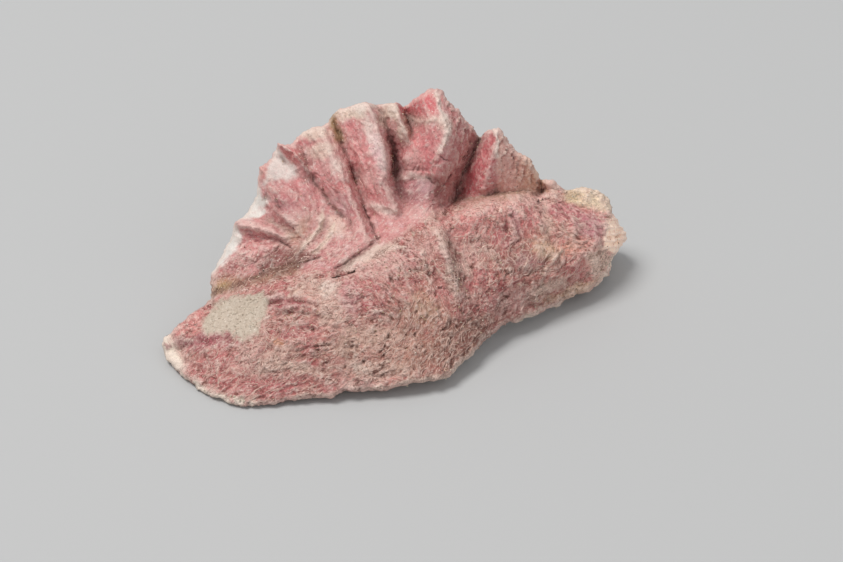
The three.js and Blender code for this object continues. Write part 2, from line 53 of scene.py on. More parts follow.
# Guide points of the relief, the same as the solid's: margin [u, v], body [u, v, h], folds [u, v, rise], level places [u, v].
CENTRE = [-4.52, 7.57]
HEEL, TOE, ROLL = [34.86, 6.69], [-40.24, -1.91], [-4.49, -3.97]
OUTLINE = [
    [-55.55, -13.6], [-54.92, -12.11], [-53.39, -11.04], [-51.27, -8.92], [-49.15, -7.22], [-47.06, -5.74],
    [-45.62, -4.68], [-44.86, -3.62], [-45.24, -1.5], [-45.35, 0.86], [-44.52, 3], [-43.44, 4.93],
    [-42.34, 6.86], [-41.23, 9.21], [-40.33, 11.13], [-39.89, 12.62], [-38.58, 13.89], [-37.06, 15.38],
    [-35.99, 17.3], [-35.35, 19.44], [-35.14, 22.01], [-34.51, 24.57], [-33.21, 25.41], [-31.92, 26.69],
    [-31.06, 28.39], [-30.85, 29.67], [-29.33, 29.01], [-27.82, 28.99], [-26.75, 30.48], [-25.25, 31.96],
    [-23.33, 32.8], [-21.4, 33.01], [-19.92, 34.08], [-19.07, 35.8], [-17.37, 36.87], [-15.23, 37.28],
    [-13.1, 37.91], [-11.39, 38.32], [-9.68, 37.66], [-7.55, 37.85], [-5.42, 38.05], [-3.72, 37.4],
    [-2.23, 38.48], [-0.32, 39.78], [1.81, 40.76], [3.3, 41.1], [4.58, 40.46], [5.43, 38.74], [6.49, 37.89],
    [7.56, 36.83], [9.05, 34.91], [10.54, 33.64], [11.61, 32.16], [12.25, 30.47], [13.32, 31.76],
    [14.61, 32.42], [16.33, 32.77], [17.41, 31.83], [18.49, 30.36], [20.02, 28.05], [21.54, 27.22],
    [23.5, 26.4], [24.61, 24.29], [25.75, 22.2], [27.11, 21.82], [28.46, 21.86], [29.6, 20.6], [31.38, 19.76],
    [33.86, 19.93], [36.16, 20.21], [38.22, 19.49], [40.04, 18.21], [41.39, 16.69], [42.03, 14.27],
    [43.58, 12.51], [45.06, 10.31], [44.79, 8.98], [43.39, 7.21], [42.46, 5.24], [41.73, 3.05], [40.98, 1.09],
    [38.9, -0.43], [36.44, -2.16], [33.77, -3.02], [31.55, -3.88], [29.78, -5.16], [26.71, -6.65],
    [23.23, -7.71], [20.64, -8.77], [18.9, -8.54], [16.74, -10.02], [14.57, -11.49], [12.63, -13.59],
    [10.69, -15.88], [8.12, -17.72], [6, -19.8], [3.89, -20.83], [0.73, -21.21], [-2.41, -21.82],
    [-4.51, -22.24], [-7.66, -22.87], [-12.89, -23.06], [-16.45, -23.26], [-17.71, -23.89], [-19.18, -24.52],
    [-21.68, -24.51], [-25.44, -24.7], [-28.56, -25.11], [-31.67, -25.82], [-34.78, -26.01], [-37.92, -25.91],
    [-40.46, -25.51], [-43.88, -24.3], [-46.92, -22.67], [-49.13, -21.04], [-50.92, -19.82], [-53.2, -17.35],
    [-54.82, -15.48],
]
BODY = [
    [-55.55, -13.6, -6.82], [-50.91, -19.61, -2.3], [-44.22, -23.84, 2.58], [-35.7, -25.82, 5.1],
    [-27.41, -24.81, 4.36], [-19.08, -24.18, 4.24], [-8.66, -22.74, 3.77], [0.73, -21.31, 3.14],
    [8.09, -17.65, -0.28], [13.46, -12.72, -5.53], [19.33, -8.76, -9.95], [26.77, -6.45, -14.09],
    [33.88, -3.03, -18.17], [39.7, 0, -21.16], [42.105, 4.158, -24.55], [44.92, 9.84, -24.17],
    [-48.85, -14.56, -2.87], [-40.04, -16.52, 2.57], [-29.49, -15.42, 4.38], [-19.06, -14.37, 4.69],
    [-8.65, -12.3, 4.08], [-0.31, -11.28, 2.87], [5.98, -9.23, 0.73], [14.49, -4.02, -4.23],
    [23.11, 0.21, -8.34], [31.86, 3.43, -12.8], [38.57, 6.7, -17.01], [-44.64, -9.29, -2.93],
    [-38.15, -8.2, -0.5], [-29.62, -6.07, 1.94], [-21.19, -5.01, 3.48], [-12.83, -3.96, 4.1],
    [-4.49, -1.46, 2.99], [3.88, 1.26, 0.68], [12.36, 5.49, -3.75], [21.01, 8.74, -9.18],
    [29.71, 10.94, -12.73], [37.45, 12.73, -16.42], [-52.94, -11.03, -6.14], [-49.14, -7.43, -6.39],
    [-45.81, -4.89, -7.24], [-38.34, -3.38, -3.44], [-29.77, -0.42, -1.05], [-21.28, 1.05, 0.93],
    [-12.89, 3.35, 0.98], [-4.52, 8, -1.13], [2.85, 11.63, -3.9], [12.48, 15.78, -9.16], [21.16, 17.4, -13.58],
    [29.97, 18.39, -17.87], [36.55, 18.87, -19.38], [40.49, 16.28, -20.03], [42.22, 12.81, -19.93],
    [-44.47, -3.2, -9.26], [-36.35, 0.42, -5.48], [-27.82, 3.6, -4.29], [-19.31, 5.49, -2.8],
    [-10.87, 8.66, -3.16], [-4.57, 13.38, -6.61], [1.81, 14.67, -7.53], [7.81, 17.33, -11],
    [14.71, 18.25, -13.35], [21.24, 18.76, -15.82], [26.34, 19.73, -19.16], [-39.9, 6.63, -11.01],
    [-32.28, 11.93, -8.62], [-25.86, 16.18, -8.08], [-18.38, 19.33, -6.86], [-10.94, 23.58, -6.95],
    [-4.57, 26.77, -7.02], [3.93, 27.84, -7.04], [10.33, 24.7, -8.28], [15.09, 24.82, -11.23],
    [21.18, 22.79, -14.09], [-44.92, 1.29, -12.42], [-39.67, 12.19, -10.79], [-34.93, 21.58, -10.15],
    [-30.84, 29.03, -9.7], [-24.82, 31.96, -8.52], [-18.43, 36.01, -8.69], [-11.39, 38.1, -8.07],
    [-5.42, 37.83, -7.13], [3.3, 40.89, -8.28], [7.77, 36.83, -8.11], [12.04, 30.68, -8.56],
    [16.12, 32.45, -9.73], [21.54, 27.22, -12.22], [25.98, 21.99, -15.62], [28.93, 21.23, -18.77],
]
FOLDS = [
    [[-44.25, -3.2, -0.8], [-39.6, -1.27, -2], [-35.28, 1.06, -2.4], [-30.98, 2.33, -2.4], [-27.8, 3.17, -2.2], [-24.6, 4.22, -1.6], [-21.85, 5.07, -1.2]],
    [[-43.22, -4.67, 0.2], [-38.38, -2.75, 0.3], [-33.67, -0.42, 0.5], [-28.77, 1.05, 0.5], [-23.46, 2.31, 0.4], [-20.28, 2.73, 0.2]],
    [[-44.93, 1.72, 0.6], [-42.08, 3.85, 1], [-38.78, 6.2, 1.4], [-35.49, 7.25, 1.2], [-32.23, 7.66, 0.8], [-29.44, 8.08, 0.2]],
    [[-39.01, 7.48, -2.2], [-36.59, 8.21, -1.6], [-33.54, 8.52, -1], [-30.73, 8.29, -0.9], [-28.35, 7.43, -1.1], [-26.4, 6.57, -0.9]],
    [[-39.56, 12.4, 2.2], [-36.61, 12.06, 2.8], [-34, 11.3, 2.6], [-31.19, 10.22, 1.8], [-28.59, 9.14, 0.5]],
    [[-37.49, 14.53, -3.6], [-35.32, 13.98, -3], [-32.94, 13.22, -2.4], [-30.35, 12.14, -2.2], [-28.19, 10.85, -1.6], [-26.23, 9.13, -1], [-24.7, 7.63, -0.9]],
    [[-34.51, 24.36, 1.6], [-32.98, 21.99, 2.4], [-31.89, 19.41, 2.9], [-30.59, 16.63, 3], [-28.86, 14.06, 2.8], [-27.12, 11.7, 2.1], [-25.6, 9.77, 1.1]],
    [[-34.05, 19.43, -1.2], [-33.61, 17.28, -1.8], [-32.3, 15.14, -1.2]],
    [[-28.02, 19.39, 1.8], [-25.44, 16.18, 1.6], [-23.28, 13.61, 1.4], [-24.97, 11.26, 1.2]],
    [[-21.35, 13.17, 0.8], [-23.25, 10.83, 0.6], [-24.94, 8.91, 0.3]],
    [[-19.41, 11.67, -1.2], [-21.3, 9.11, -1.4], [-23.17, 6.56, -1.2]],
    [[-31.27, 27.54, -3.6], [-29.32, 25.8, -3.4], [-27.59, 23.87, -2.8], [-25.87, 22.36, -2.2], [-23.94, 21.92, -1.8]],
    [[-30.63, 29.46, 1.2], [-28.46, 27.93, 2.2], [-26.52, 26.52, 2.3], [-25.23, 24.48, 1.4], [-24.16, 22.98, 0]],
    [[-26.31, 29.83, -0.9], [-24.81, 27.47, -1.4], [-23.51, 24.9, -1.8]],
    [[-23.3, 22.13, -2.6], [-21.58, 19.56, -3], [-19.87, 17.64, -3], [-18.16, 15.5, -2.7], [-16.66, 13.8, -2.1], [-15.37, 11.66, -1.2]],
    [[-21.83, 32.58, 1.5], [-20.1, 29.36, 1.9], [-18.39, 25.72, 2.2], [-16.46, 21.88, 2.4], [-14.76, 18.27, 2.3], [-13.27, 14.65, 2.1], [-12.18, 11.22, 1.8], [-11.73, 9.3, 1.5]],
    [[-17.7, 11.24, 0.6], [-16.17, 8.24, 1.2], [-17.17, 5.48, 1.1], [-19.05, 4, 0.5]],
    [[-18.6, 3.15, 0.8], [-16.3, 4.42, 1.4], [-13.38, 6.74, 1.6], [-10.66, 8.66, 1.3]],
    [[-17.93, 2.1, -0.7], [-15.43, 3.36, -1.1], [-12.51, 5.47, -1.3], [-9.8, 7.37, -1]],
    [[-18.85, 34.94, -2.2], [-17.77, 32.13, -3.2], [-16.69, 28.92, -3.9], [-15.41, 25.71, -4.8], [-14.34, 22.94, -6], [-13.7, 21.03, -5.8], [-12.85, 18.27, -4.4], [-12, 15.72, -4], [-11.14, 13.37, -3.8], [-10.06, 11.22, -3.2], [-9.18, 9.08, -1.8]],
    [[-11.17, 37.67, 2], [-10.1, 34.23, 2.8], [-9.03, 31.02, 3.2], [-7.97, 27.83, 3.5], [-7.33, 25.08, 3.5], [-7.44, 22.75, 3.2], [-6.92, 20.64, 2.8], [-6.07, 18.09, 2.2], [-5.21, 15.74, 1.4]],
    [[-15.23, 36.42, 0.8], [-13.93, 32.11, 0.9], [-12.43, 27.83, 1], [-10.94, 23.58, 1], [-9.67, 19.35, 0.8], [-8.4, 16.16, 0.6]],
    [[-9.46, 37.01, -1.6], [-8.18, 34, -3], [-6.9, 30.8, -4.4], [-6.05, 27.83, -6.2], [-5.74, 25.3, -6.8], [-5.96, 22.76, -6.4], [-5.43, 20.44, -4.4], [-4.58, 17.89, -3], [-3.72, 15.75, -1.8]],
    [[-5.84, 37.62, 1.4], [-4.78, 35.05, 1.5], [-3.72, 32.49, 1.2], [-2.87, 30.37, 0.4]],
    [[-3.93, 36.97, -3.4], [-2.87, 34.62, -4.4], [-2.23, 32.07, -3.2], [-2.02, 29.95, -1]],
    [[3.51, 40.67, 2.4], [3.72, 38.3, 3], [4.15, 35.72, 3.2], [5.21, 33.15, 3.6], [5.84, 31.24, 3.6], [4.99, 29.11, 3.4], [4.36, 26.58, 3.2], [4.37, 24.07, 3], [3.52, 22.18, 2.2]],
    [[-0.32, 39.35, 1.6], [0.53, 35.91, 1.8], [1.17, 32.07, 1.6], [1.17, 27.84, 1.4], [0.53, 24.06, 1.2]],
    [[-3.51, 26.15, -1], [-2.45, 23.2, -0.2], [-1.59, 27.84, 0]],
    [[-3.73, 21.72, -1.4], [-1.6, 21.73, -0.5], [0.53, 21.53, 0.5], [2.45, 20.91, 1.4]],
    [[-2.88, 18.96, 0], [-0.75, 18.98, 0.9], [1.17, 18.56, 1.5], [1.17, 16.41, 1.3], [-1.38, 16.18, 0.7]],
    [[7.34, 33.82, 1.2], [7.97, 30.4, 0.6], [7.34, 26.79, 0.3], [6.29, 23.65, 0.2], [5.23, 20.51, -1.2], [4.81, 17.73, -2.2]],
    [[6.28, 37.89, 1.2], [7.56, 36.61, 0.4], [9.05, 34.7, -0.8], [10.75, 33.22, -2.2], [11.61, 31.52, -3.6]],
    [[12.25, 30.04, -5.2], [11.18, 27.46, -6], [9.9, 25.12, -6.2], [8.43, 22.61, -5.8], [7.59, 19.89, -5.6], [7.38, 17.32, -5.4], [6.08, 15.57, -4.4]],
    [[15.9, 32.23, 1.4], [15.91, 29.68, 1.9], [15.49, 27.35, 2], [14.87, 24.82, 1.9], [14.26, 22.08, 1.7], [13.41, 19.52, 1.2]],
    [[13.75, 30.92, -1.2], [13.11, 27.51, -1.8], [11.84, 24.11, -2.4], [10.8, 21.17, -3], [10.16, 18.18, -3.6]],
    [[17.41, 31.4, 0.8], [18.71, 29.73, 0.3], [20.02, 27.84, -0.1], [21.54, 27.01, -0.4], [23.5, 26.18, -1], [24.83, 23.87, -1.4], [25.76, 21.99, -1.8]],
    [[18.53, 25.93, 0.5], [19.67, 22.57, 0.2], [22.3, 21.54, -0.6], [24.53, 20.1, -1.6], [17.97, 20.01, 0.2]],
    [[3.93, 14.03, -1.6], [6.5, 15.13, -2.6], [10.36, 16.55, -2.5], [14.7, 17.81, -2.1], [18.61, 18.61, -1.7], [23.43, 18.57, -1.5], [25.9, 19.5, -1.6]],
    [[4.56, 12.72, 0.7], [7.13, 14.48, 1.1], [10.55, 15.57, 1.2], [14.67, 16.71, 1.2], [18.58, 17.62, 1.2], [23.4, 17.47, 1], [26.77, 18.21, 0.8]],
    [[26.52, 20.56, -1.2], [26.56, 19.51, -1.2]],
    [[27.6, 21, 0.8], [28.71, 21.02, 0.9], [28.3, 19.73, 0.7]],
    [[32.71, 18.91, 0.4], [36.37, 18.57, 1], [39.31, 16.64, 0.8]],
    [[30.04, 19.31, -0.3], [31.34, 17.57, -0.3], [34.46, 16.09, -0.3], [37.84, 14.61, -0.2]],
    [[-44.3, 3.22, -2.6], [-43, 5.58, -4.2], [-41.67, 8.14, -5], [-40.78, 10.06, -4.4]],
    [[-41.44, 5.35, -1.2], [-39.9, 7.7, -1.6], [-39.24, 10.05, -1]],
    [[-38.14, 14.21, -3.8], [-36.63, 16.02, -5.6], [-35.78, 18.15, -5.8], [-35.35, 20.29, -4.4], [-34.93, 22.22, -2.2]],
    [[-33.64, 24.99, -2], [-32.35, 26.05, -3.8], [-31.27, 27.96, -4.2]],
    [[2.23, 14.24, 0.6], [3.49, 11.2, 1], [4.74, 8.22, 1.2], [5.78, 5.26, 1.2], [6.83, 2.31, 1.2], [7.67, -0.63, 1.1], [8.3, -3.36, 0.8], [8.72, -5.26, 0.3]],
    [[5.17, 9.49, -0.7], [6.63, 6.11, -1], [8.1, 2.31, -1.1], [9.15, -0.84, -1], [9.78, -3.58, -0.6]],
    [[1.37, 9.48, 0], [3.05, 5.25, -0.2], [4.93, 0.63, -0.2], [5.98, -2.31, -0.2]],
    [[-16.25, 2.52, 0.1], [-13.32, 3.57, 0.2], [-9.77, 5.25, 0.3], [-6.21, 7.36, 0.4]],
    [[-52.87, -13.56, 0.4], [-46.72, -12.02, 0.9], [-39.76, -11.33, 1], [-33.35, -10.45, 0.7], [-27.46, -8.56, 0.3]],
    [[-43.66, -7.4, 0.2], [-39.34, -5.7, 0.3], [-35.65, -4.84, 0.3]],
    [[40.34, 12.9, 0.6], [40.71, 10.48, 0.9], [40.16, 7.84, 0.6]],
    [[41.97, 12.49, -0.7], [42.2, 10.06, -1], [41.67, 7.64, -0.8]],
]
LEVEL = [
    [-46.54, -18.7], [-41.08, -21.74], [-35.78, -17.53], [-34.75, -22.75], [-30.55, -13.35], [-29.55, -21.72],
    [-23.31, -21.74], [-17.02, -18.59], [-14.9, -13.34], [-15.96, -3.96], [-9.71, -0.84], [-7.61, -6.05],
    [-6.57, -12.31], [-9.73, -19.68], [-2.41, 3.35], [-1.36, -3.97], [-0.31, -9.19], [-0.31, -16.54],
    [4.93, -13.43], [11.3, -8.24], [12.35, 2.32], [12.4, 9.75], [17.8, 11.94], [17.72, 5.52], [17.72, -1.91],
    [23.2, 9.84], [24.22, 3.41], [25.34, -2.99], [29.92, 14.26], [29.74, 7.73], [31.94, 1.29], [35.38, 9.95],
    [36.42, 3.46], [-21.22, -1.88], [-25.44, -2.93], [-4.55, 10.78],
]


SIN, COS = math.sin(TILT), math.cos(TILT)


def to_world(u, v, h):
    x, y, z = u, v * SIN - h * COS, DATUM + v * COS + h * SIN
    return np.stack([x * math.cos(TURN) + y * math.sin(TURN) - SHIFT[0],
                     -x * math.sin(TURN) + y * math.cos(TURN) - SHIFT[1], z], -1)


def face_xy(u, v, h):
    """Place on the face as seen, in steps of 0.21 mm, x right and y down from the corner of an 843 by 562 frame."""
    k = 1.0 / (VIEW_SCALE * (1.0 - h / VIEW_DISTANCE))
    return 421.5 + u * k, 281.0 - v * k


# ---- Noise ----
PERM = rng.permutation(256)
PERM = np.concatenate([PERM, PERM, PERM])
GRAD = rng.normal(size=(256, 3))
GRAD /= np.linalg.norm(GRAD, axis=1)[:, None]


def noise(p):
    """Gradient noise at points p, about -1 to 1."""
    cell = np.floor(p).astype(np.int64)
    f = p - cell
    cell &= 255
    w = f * f * f * (f * (f * 6 - 15) + 10)
    out = np.zeros(len(p))
    for dx in (0, 1):
        for dy in (0, 1):
            for dz in (0, 1):
                a = PERM[(cell[:, 0] + dx) & 255]
                b = PERM[a + ((cell[:, 1] + dy) & 255)]
                g = GRAD[PERM[b + ((cell[:, 2] + dz) & 255)]]
                s = g[:, 0] * (f[:, 0] - dx) + g[:, 1] * (f[:, 1] - dy) + g[:, 2] * (f[:, 2] - dz)
                out += s * (w[:, 0] if dx else 1 - w[:, 0]) * (w[:, 1] if dy else 1 - w[:, 1]) * (w[:, 2] if dz else 1 - w[:, 2])
    return out * 1.6


def fbm(p, size, octaves=4, gain=0.55):
    out, a, total = 0.0, 1.0, 0.0
    for k in range(octaves):
        out = out + a * noise(p / size + 17.3 * k)
        total += a
        a *= gain
        size *= 0.5
    return out / total


def ramp(x, lo, hi):
    t = np.clip((x - lo) / (hi - lo), 0, 1)
    return t * t * (3 - 2 * t)


# ---- Smooth relief ----
def surface_through(points, values, radial, ease):
    n = len(points)
    r2 = ((points[:, None] - points[None]) ** 2).sum(-1)
    a = np.zeros((n + 3, n + 3))
    a[:n, :n] = radial(r2) + ease * np.eye(n)
    a[:n, n] = a[n, :n] = 1
    a[:n, n + 1:] = points
    a[n + 1:, :n] = points.T
    c = np.linalg.solve(a, np.concatenate([values, np.zeros(3)]))
    sq = (points ** 2).sum(1)

    def at(q):
        out = np.empty(len(q))
        for i in range(0, len(q), 8000):
            b = q[i:i + 8000]
            r = np.maximum((b ** 2).sum(1)[:, None] + sq[None] - 2 * b @ points.T, 0)
            out[i:i + 8000] = radial(r) @ c[:n] + c[n] + b @ c[n + 1:]
        return out

    return at


def along(line, step):
    out = [line[0]]
    for p, q in zip(line[:-1], line[1:]):
        n = max(1, math.ceil(math.hypot(q[0] - p[0], q[1] - p[1]) / step))
        out += [[a + (b - a) * k / n for a, b in zip(p, q)] for k in range(1, n + 1)]
    return out


body_points = np.array(BODY)
fold_points = np.array([p for line in FOLDS for p in along(line, 1.26)] + [[u, v, 0.0] for u, v in LEVEL])
body_at = surface_through(body_points[:, :2], body_points[:, 2], lambda r: 0.5 * r * np.log(r + 1e-12), 0.6)
raw_fold_at = surface_through(fold_points[:, :2], fold_points[:, 2], lambda r: -np.sqrt(r + 0.09), 0.05)


def fold_at(q):
    """Rise of the folds. Those left of the tall fold have broad backs and narrow grooves."""
    f = raw_fold_at(q)
    broad = 1 / (1 + np.exp((q[:, 0] + 4.0) / 1.0))
    back = np.where(f > 0, f / (1 + 0.20 * np.maximum(f, 0)), -0.24 * np.abs(f) ** 1.6)
    return f + broad * (back - f)


def mound(q, at, su, sv):
    return np.exp(-((q[:, 0] - at[0]) ** 2) / (2 * su ** 2) - ((q[:, 1] - at[1]) ** 2) / (2 * sv ** 2))


# Margin, anticlockwise as seen from outside, a little ragged.
rim_line = np.array(along(OUTLINE + [OUTLINE[0]], 0.25)[:-1])[::-1]
step = np.roll(rim_line, -1, 0) - np.roll(rim_line, 1, 0)
out_dir = np.stack([step[:, 1], -step[:, 0]], 1) / np.linalg.norm(step, axis=1)[:, None]
rim3 = np.c_[rim_line, np.zeros(len(rim_line))]
rim_x, rim_y = 421.5 + rim_line[:, 0] / 0.217, 281.0 - rim_line[:, 1] / 0.217
toothed = ramp(rim_x, 446, 452) * ramp(-rim_x, -546, -538) * ramp(-rim_y, -186, -178)
teeth = ((rim_x + 0.22 * (rim_y - 100) + 3 * fbm(rim3 + 7, 1.5, 2)) / 6.6) % 1.0
rim_line = rim_line + out_dir * (0.45 * fbm(rim3, 2.6, 3) + 0.34 * fbm(rim3 + 50, 0.9, 2) + toothed * (0.40 * teeth - 0.2) * (0.55 + 0.9 * fbm(rim3 + 30, 2.4, 2)))[:, None]
seg = np.roll(rim_line, -1, 0) - rim_line
rim_t = np.concatenate([[0], np.cumsum(np.linalg.norm(seg, axis=1))])
rim_t /= rim_t[-1]
closed = np.vstack([rim_line, rim_line[:1]])


def rim_at(t):
    return np.stack([np.interp(t, rim_t, closed[:, 0]), np.interp(t, rim_t, closed[:, 1])], 1)


rim_tree = KDTree(6000)
for i, (a, b) in enumerate(rim_at(np.arange(6000) / 6000)):
    rim_tree.insert((a, b, 0.0), i)
rim_tree.balance()


def from_rim(q):
    return np.array([rim_tree.find((a, b, 0.0))[2] for a, b in q.tolist()])


def wall(q, on_rim):
    """Outside and inside of the wall, as h."""
    body, fold = body_at(q), fold_at(q)
    ground = -(DATUM + q[:, 1] * COS) / SIN
    thick = (WALL + 1.5 * mound(q, ROLL, 31.5, 12.6) + 17.0 * mound(q, HEEL, 5.7, 5.5) + 14.5 * mound(q, TOE, 5.0, 3.2)
             + 3.5 * mound(q, (-25, -20), 17, 5))
    outside = np.maximum(body + fold, ground + MARGIN_LEAST)
    inside = np.maximum(body + INNER_FOLD * fold - thick, ground)
    middle = np.maximum(0.5 * (outside + inside), outside - MARGIN_DROP)
    gap = np.zeros(len(q))
    near = np.where(~on_rim)[0]
    gap[near] = from_rim(q[near])

    def rounding(radius):
        return 1 - np.sqrt(np.maximum(1 - (1 - np.clip(gap / radius, 0, 1)) ** 2, 0))

    return outside + (middle - outside) * rounding(MARGIN_RADIUS), inside + (middle - inside) * rounding(BELLY_RADIUS)


# Rings of points from the middle of the face to the margin, closer together where the face is steep.
centre = np.array(CENTRE)
ray_t = np.arange(RIM) / RIM
ray_end = rim_at(ray_t)
shares = np.linspace(0, 1, 181)
probe = (centre + (ray_end[:, None] - centre) * shares[None, :, None]).reshape(-1, 2)
probe_h = (body_at(probe) + fold_at(probe)).reshape(RIM, -1)
reach = np.linalg.norm(ray_end - centre, axis=1)
cost = np.sqrt((reach[:, None] * np.diff(shares)[None]) ** 2 + (0.6 * np.diff(probe_h, axis=1)) ** 2)
cost = np.concatenate([np.zeros((RIM, 1)), np.cumsum(cost, 1)], 1)
cost /= cost[:, -1:]


def ring_shares(count):
    want = np.linspace(0, 1, count + 1)
    share = np.stack([np.interp(want, cost[i], shares) for i in range(RIM)])
    kernel = np.exp(-0.5 * (np.arange(-18, 19) / 6.0) ** 2)
    kernel /= kernel.sum()
    pad = np.concatenate([share[-18:], share, share[:18]])
    return np.stack([np.convolve(pad[:, k], kernel, "valid") for k in range(count + 1)], 1)


def rings(count):
    share = ring_shares(count)
    out = [(np.zeros(1), centre[None].copy(), np.zeros(1))]
    for k in range(1, count + 1):
        n = RIM if k == count else max(6, round(RIM * k / count))
        t = np.arange(n) / n
        s = np.interp(t, np.append(ray_t, 1), np.append(share[:, k], share[0, k])) if k < count else np.ones(n)
        out.append((t, centre + (rim_at(t) - centre) * s[:, None], s))
    return out


def between(ta, ia, tb, ib, faces):
    na, nb = len(ta), len(tb)
    if na == 1:
        faces += [(ia, ib + j, ib + (j + 1) % nb) for j in range(nb)]
        return
    ta, tb = np.append(ta, 1.0), np.append(tb, 1.0)
    i = j = 0
    while i < na or j < nb:
        if j < nb and (i >= na or tb[j + 1] <= ta[i + 1]):
            faces.append((ia + i % na, ib + j % nb, ib + (j + 1) % nb))
            j += 1
        else:
            faces.append((ia + i % na, ib + j % nb, ia + (i + 1) % na))
            i += 1


outer_rings, inner_rings = rings(OUTER_RINGS), rings(INNER_RINGS)
outer_q = np.concatenate([r[1] for r in outer_rings])
inner_q = np.concatenate([r[1] for r in inner_rings[:-1]])
n_outer, n_inner = len(outer_q), len(inner_q)
starts = np.concatenate([[0], np.cumsum([len(r[0]) for r in outer_rings])])
starts_in = n_outer + np.concatenate([[0], np.cumsum([len(r[0]) for r in inner_rings[:-1]])])
faces = []
for k in range(OUTER_RINGS):
    between(outer_rings[k][0], starts[k], outer_rings[k + 1][0], starts[k + 1], faces)
back = []
for k in range(INNER_RINGS):
    last = k + 1 == INNER_RINGS
    between(inner_rings[k][0], starts_in[k], outer_rings[-1][0] if last else inner_rings[k + 1][0],
            starts[OUTER_RINGS] if last else starts_in[k + 1], back)
faces = np.array(faces + [(a, c, b) for a, b, c in back])

on_rim = np.zeros(n_outer, bool)
on_rim[starts[OUTER_RINGS]:] = True
h_out, _ = wall(outer_q, on_rim)
_, h_in = wall(inner_q, np.zeros(n_inner, bool))

# Creases and crests along the folds: line down or to the right, rise, and widths to its left and right hand.
CUTS = [
    ([(333, 117), (337, 128), (341, 142), (346, 153), (351, 167), (354, 178), (356, 187), (361, 196), (364, 206), (368, 218), (373, 230), (378, 239)], -0.9, 3.4, 2.2),
    ([(351, 168), (353, 176), (356, 184)], -1.2, 2.0, 1.5), ([(363, 206), (368, 218), (374, 231)], -0.9, 2.2, 1.6),
    ([(377, 104), (383, 116), (387, 126), (390, 138), (393, 150), (394, 160), (393, 170), (393, 176)], -0.8, 1.8, 2.6),
    ([(392, 152), (394, 162), (391, 173)], -1.3, 1.8, 2.2), ([(388, 178), (394, 190), (398, 202), (403, 214)], -0.9, 1.8, 3.5),
    ([(397, 103), (403, 111), (408, 119), (411, 128), (412, 137)], -1.0, 1.8, 2.2), ([(404, 114), (408, 121)], -1.0, 2.2, 1.8),
    ([(480, 139), (475, 149), (470, 160), (464, 171), (459, 183), (457, 196), (456, 204)], -0.9, 2.6, 2.2),
    ([(309, 172), (313, 180), (320, 190), (327, 198), (335, 208), (343, 217)], -0.45, 2.6, 2.4), ([(296, 140), (303, 151), (308, 164)], -0.7, 2.2, 1.8),
    ([(394, 172), (404, 171), (418, 170), (430, 171)], -0.7, 1.4, 3.0), ([(440, 156), (444, 159), (448, 160)], -0.8, 1.6, 1.6), ([(428, 178), (433, 183)], -0.6, 1.8, 1.8),
    ([(541, 180), (541.5, 187), (541, 194)], -0.6, 1.0, 1.0), ([(262, 238), (272, 239), (282, 242), (291, 247)], -0.35, 1.4, 1.8),
    ([(246, 214), (260, 219), (274, 224), (286, 231)], -0.7, 2.0, 2.0), ([(240, 229), (256, 233), (272, 236)], -0.5, 1.6, 1.6), ([(252, 240), (264, 244), (276, 250)], -0.5, 1.8, 1.8),
    ([(230, 234), (245, 239), (262, 247)], 0.55, 2.2, 2.2), ([(222, 248), (240, 253), (256, 260)], 0.45, 2.0, 2.0), ([(268, 204), (280, 214), (293, 224)], 0.6, 2.6, 2.2), ([(262, 180), (274, 190), (284, 202)], 0.5, 2.4, 2.4),
    ([(306, 128), (310, 140), (316, 154)], 0.45, 2.4, 2.4), ([(322, 124), (326, 138), (332, 154)], 0.4, 2.4, 2.4), ([(290, 172), (300, 168), (305, 176)], 0.5, 2.0, 2.0), ([(298, 200), (308, 210), (318, 220)], 0.4, 2.4, 2.0),
    ([(368, 103), (374, 116), (379, 130), (385, 145), (389, 158), (388, 170), (385, 176)], 0.50, 6.0, 1.6), ([(381, 179), (389, 192), (395, 204), (398, 210)], 0.50, 6.0, 1.6),
    ([(395, 102), (400, 112), (405, 124), (408, 134)], 0.40, 4.0, 1.3), ([(437, 90), (438, 104), (441, 116), (448, 129), (446, 140), (443, 150), (440, 156)], 0.60, 5.0, 1.8),
    ([(497, 129), (496, 142), (493, 153), (490, 166), (486, 180)], 0.45, 3.0, 3.0), ([(279, 145), (288, 149), (297, 155), (303, 164), (305, 170)], 0.85, 1.6, 4.0),
    ([(258, 166), (264, 172), (269, 179)], 0.8, 2.0, 3.0), ([(236, 222), (248, 226), (262, 229), (276, 233), (288, 238)], 0.75, 2.6, 2.6),
    ([(322, 220), (318, 228), (313, 238), (305, 247), (296, 254)], 0.95, 2.2, 2.2), ([(333, 231), (325, 240), (317, 247), (311, 251)], 0.8, 2.2, 2.2),
    ([(210, 274), (222, 265), (236, 256), (248, 250)], 0.45, 3.0, 2.4), ([(405, 119), (420, 122), (436, 120), (446, 127)], 0.40, 3.0, 3.5),
    ([(366, 206), (378, 206), (388, 208), (397, 212)], 0.45, 2.2, 3.0), ([(350, 196), (356, 206), (361, 220), (366, 234)], 0.40, 5.0, 1.8),
    ([(347, 156), (349, 166), (350, 178)], 0.35, 4.0, 1.6), ([(330, 128), (336, 140), (341, 152)], 0.30, 5.0, 1.6),
]


def apart(x, y, line):
    """Distance from a line on the face, above 0 on its left hand."""
    pts = np.array(line, float)
    best, side = np.full(len(x), 1e9), np.zeros(len(x))
    for (ax, ay), (bx, by) in zip(pts[:-1], pts[1:]):
        dx, dy = bx - ax, by - ay
        t = np.clip(((x - ax) * dx + (y - ay) * dy) / (dx * dx + dy * dy), 0, 1)
        d = (x - ax - t * dx) ** 2 + (y - ay - t * dy) ** 2
        side = np.where(d < best, dx * (y - ay) - dy * (x - ax), side)
        best = np.minimum(d, best)
    return np.sqrt(best) * np.where(side > 0, 1, -1)


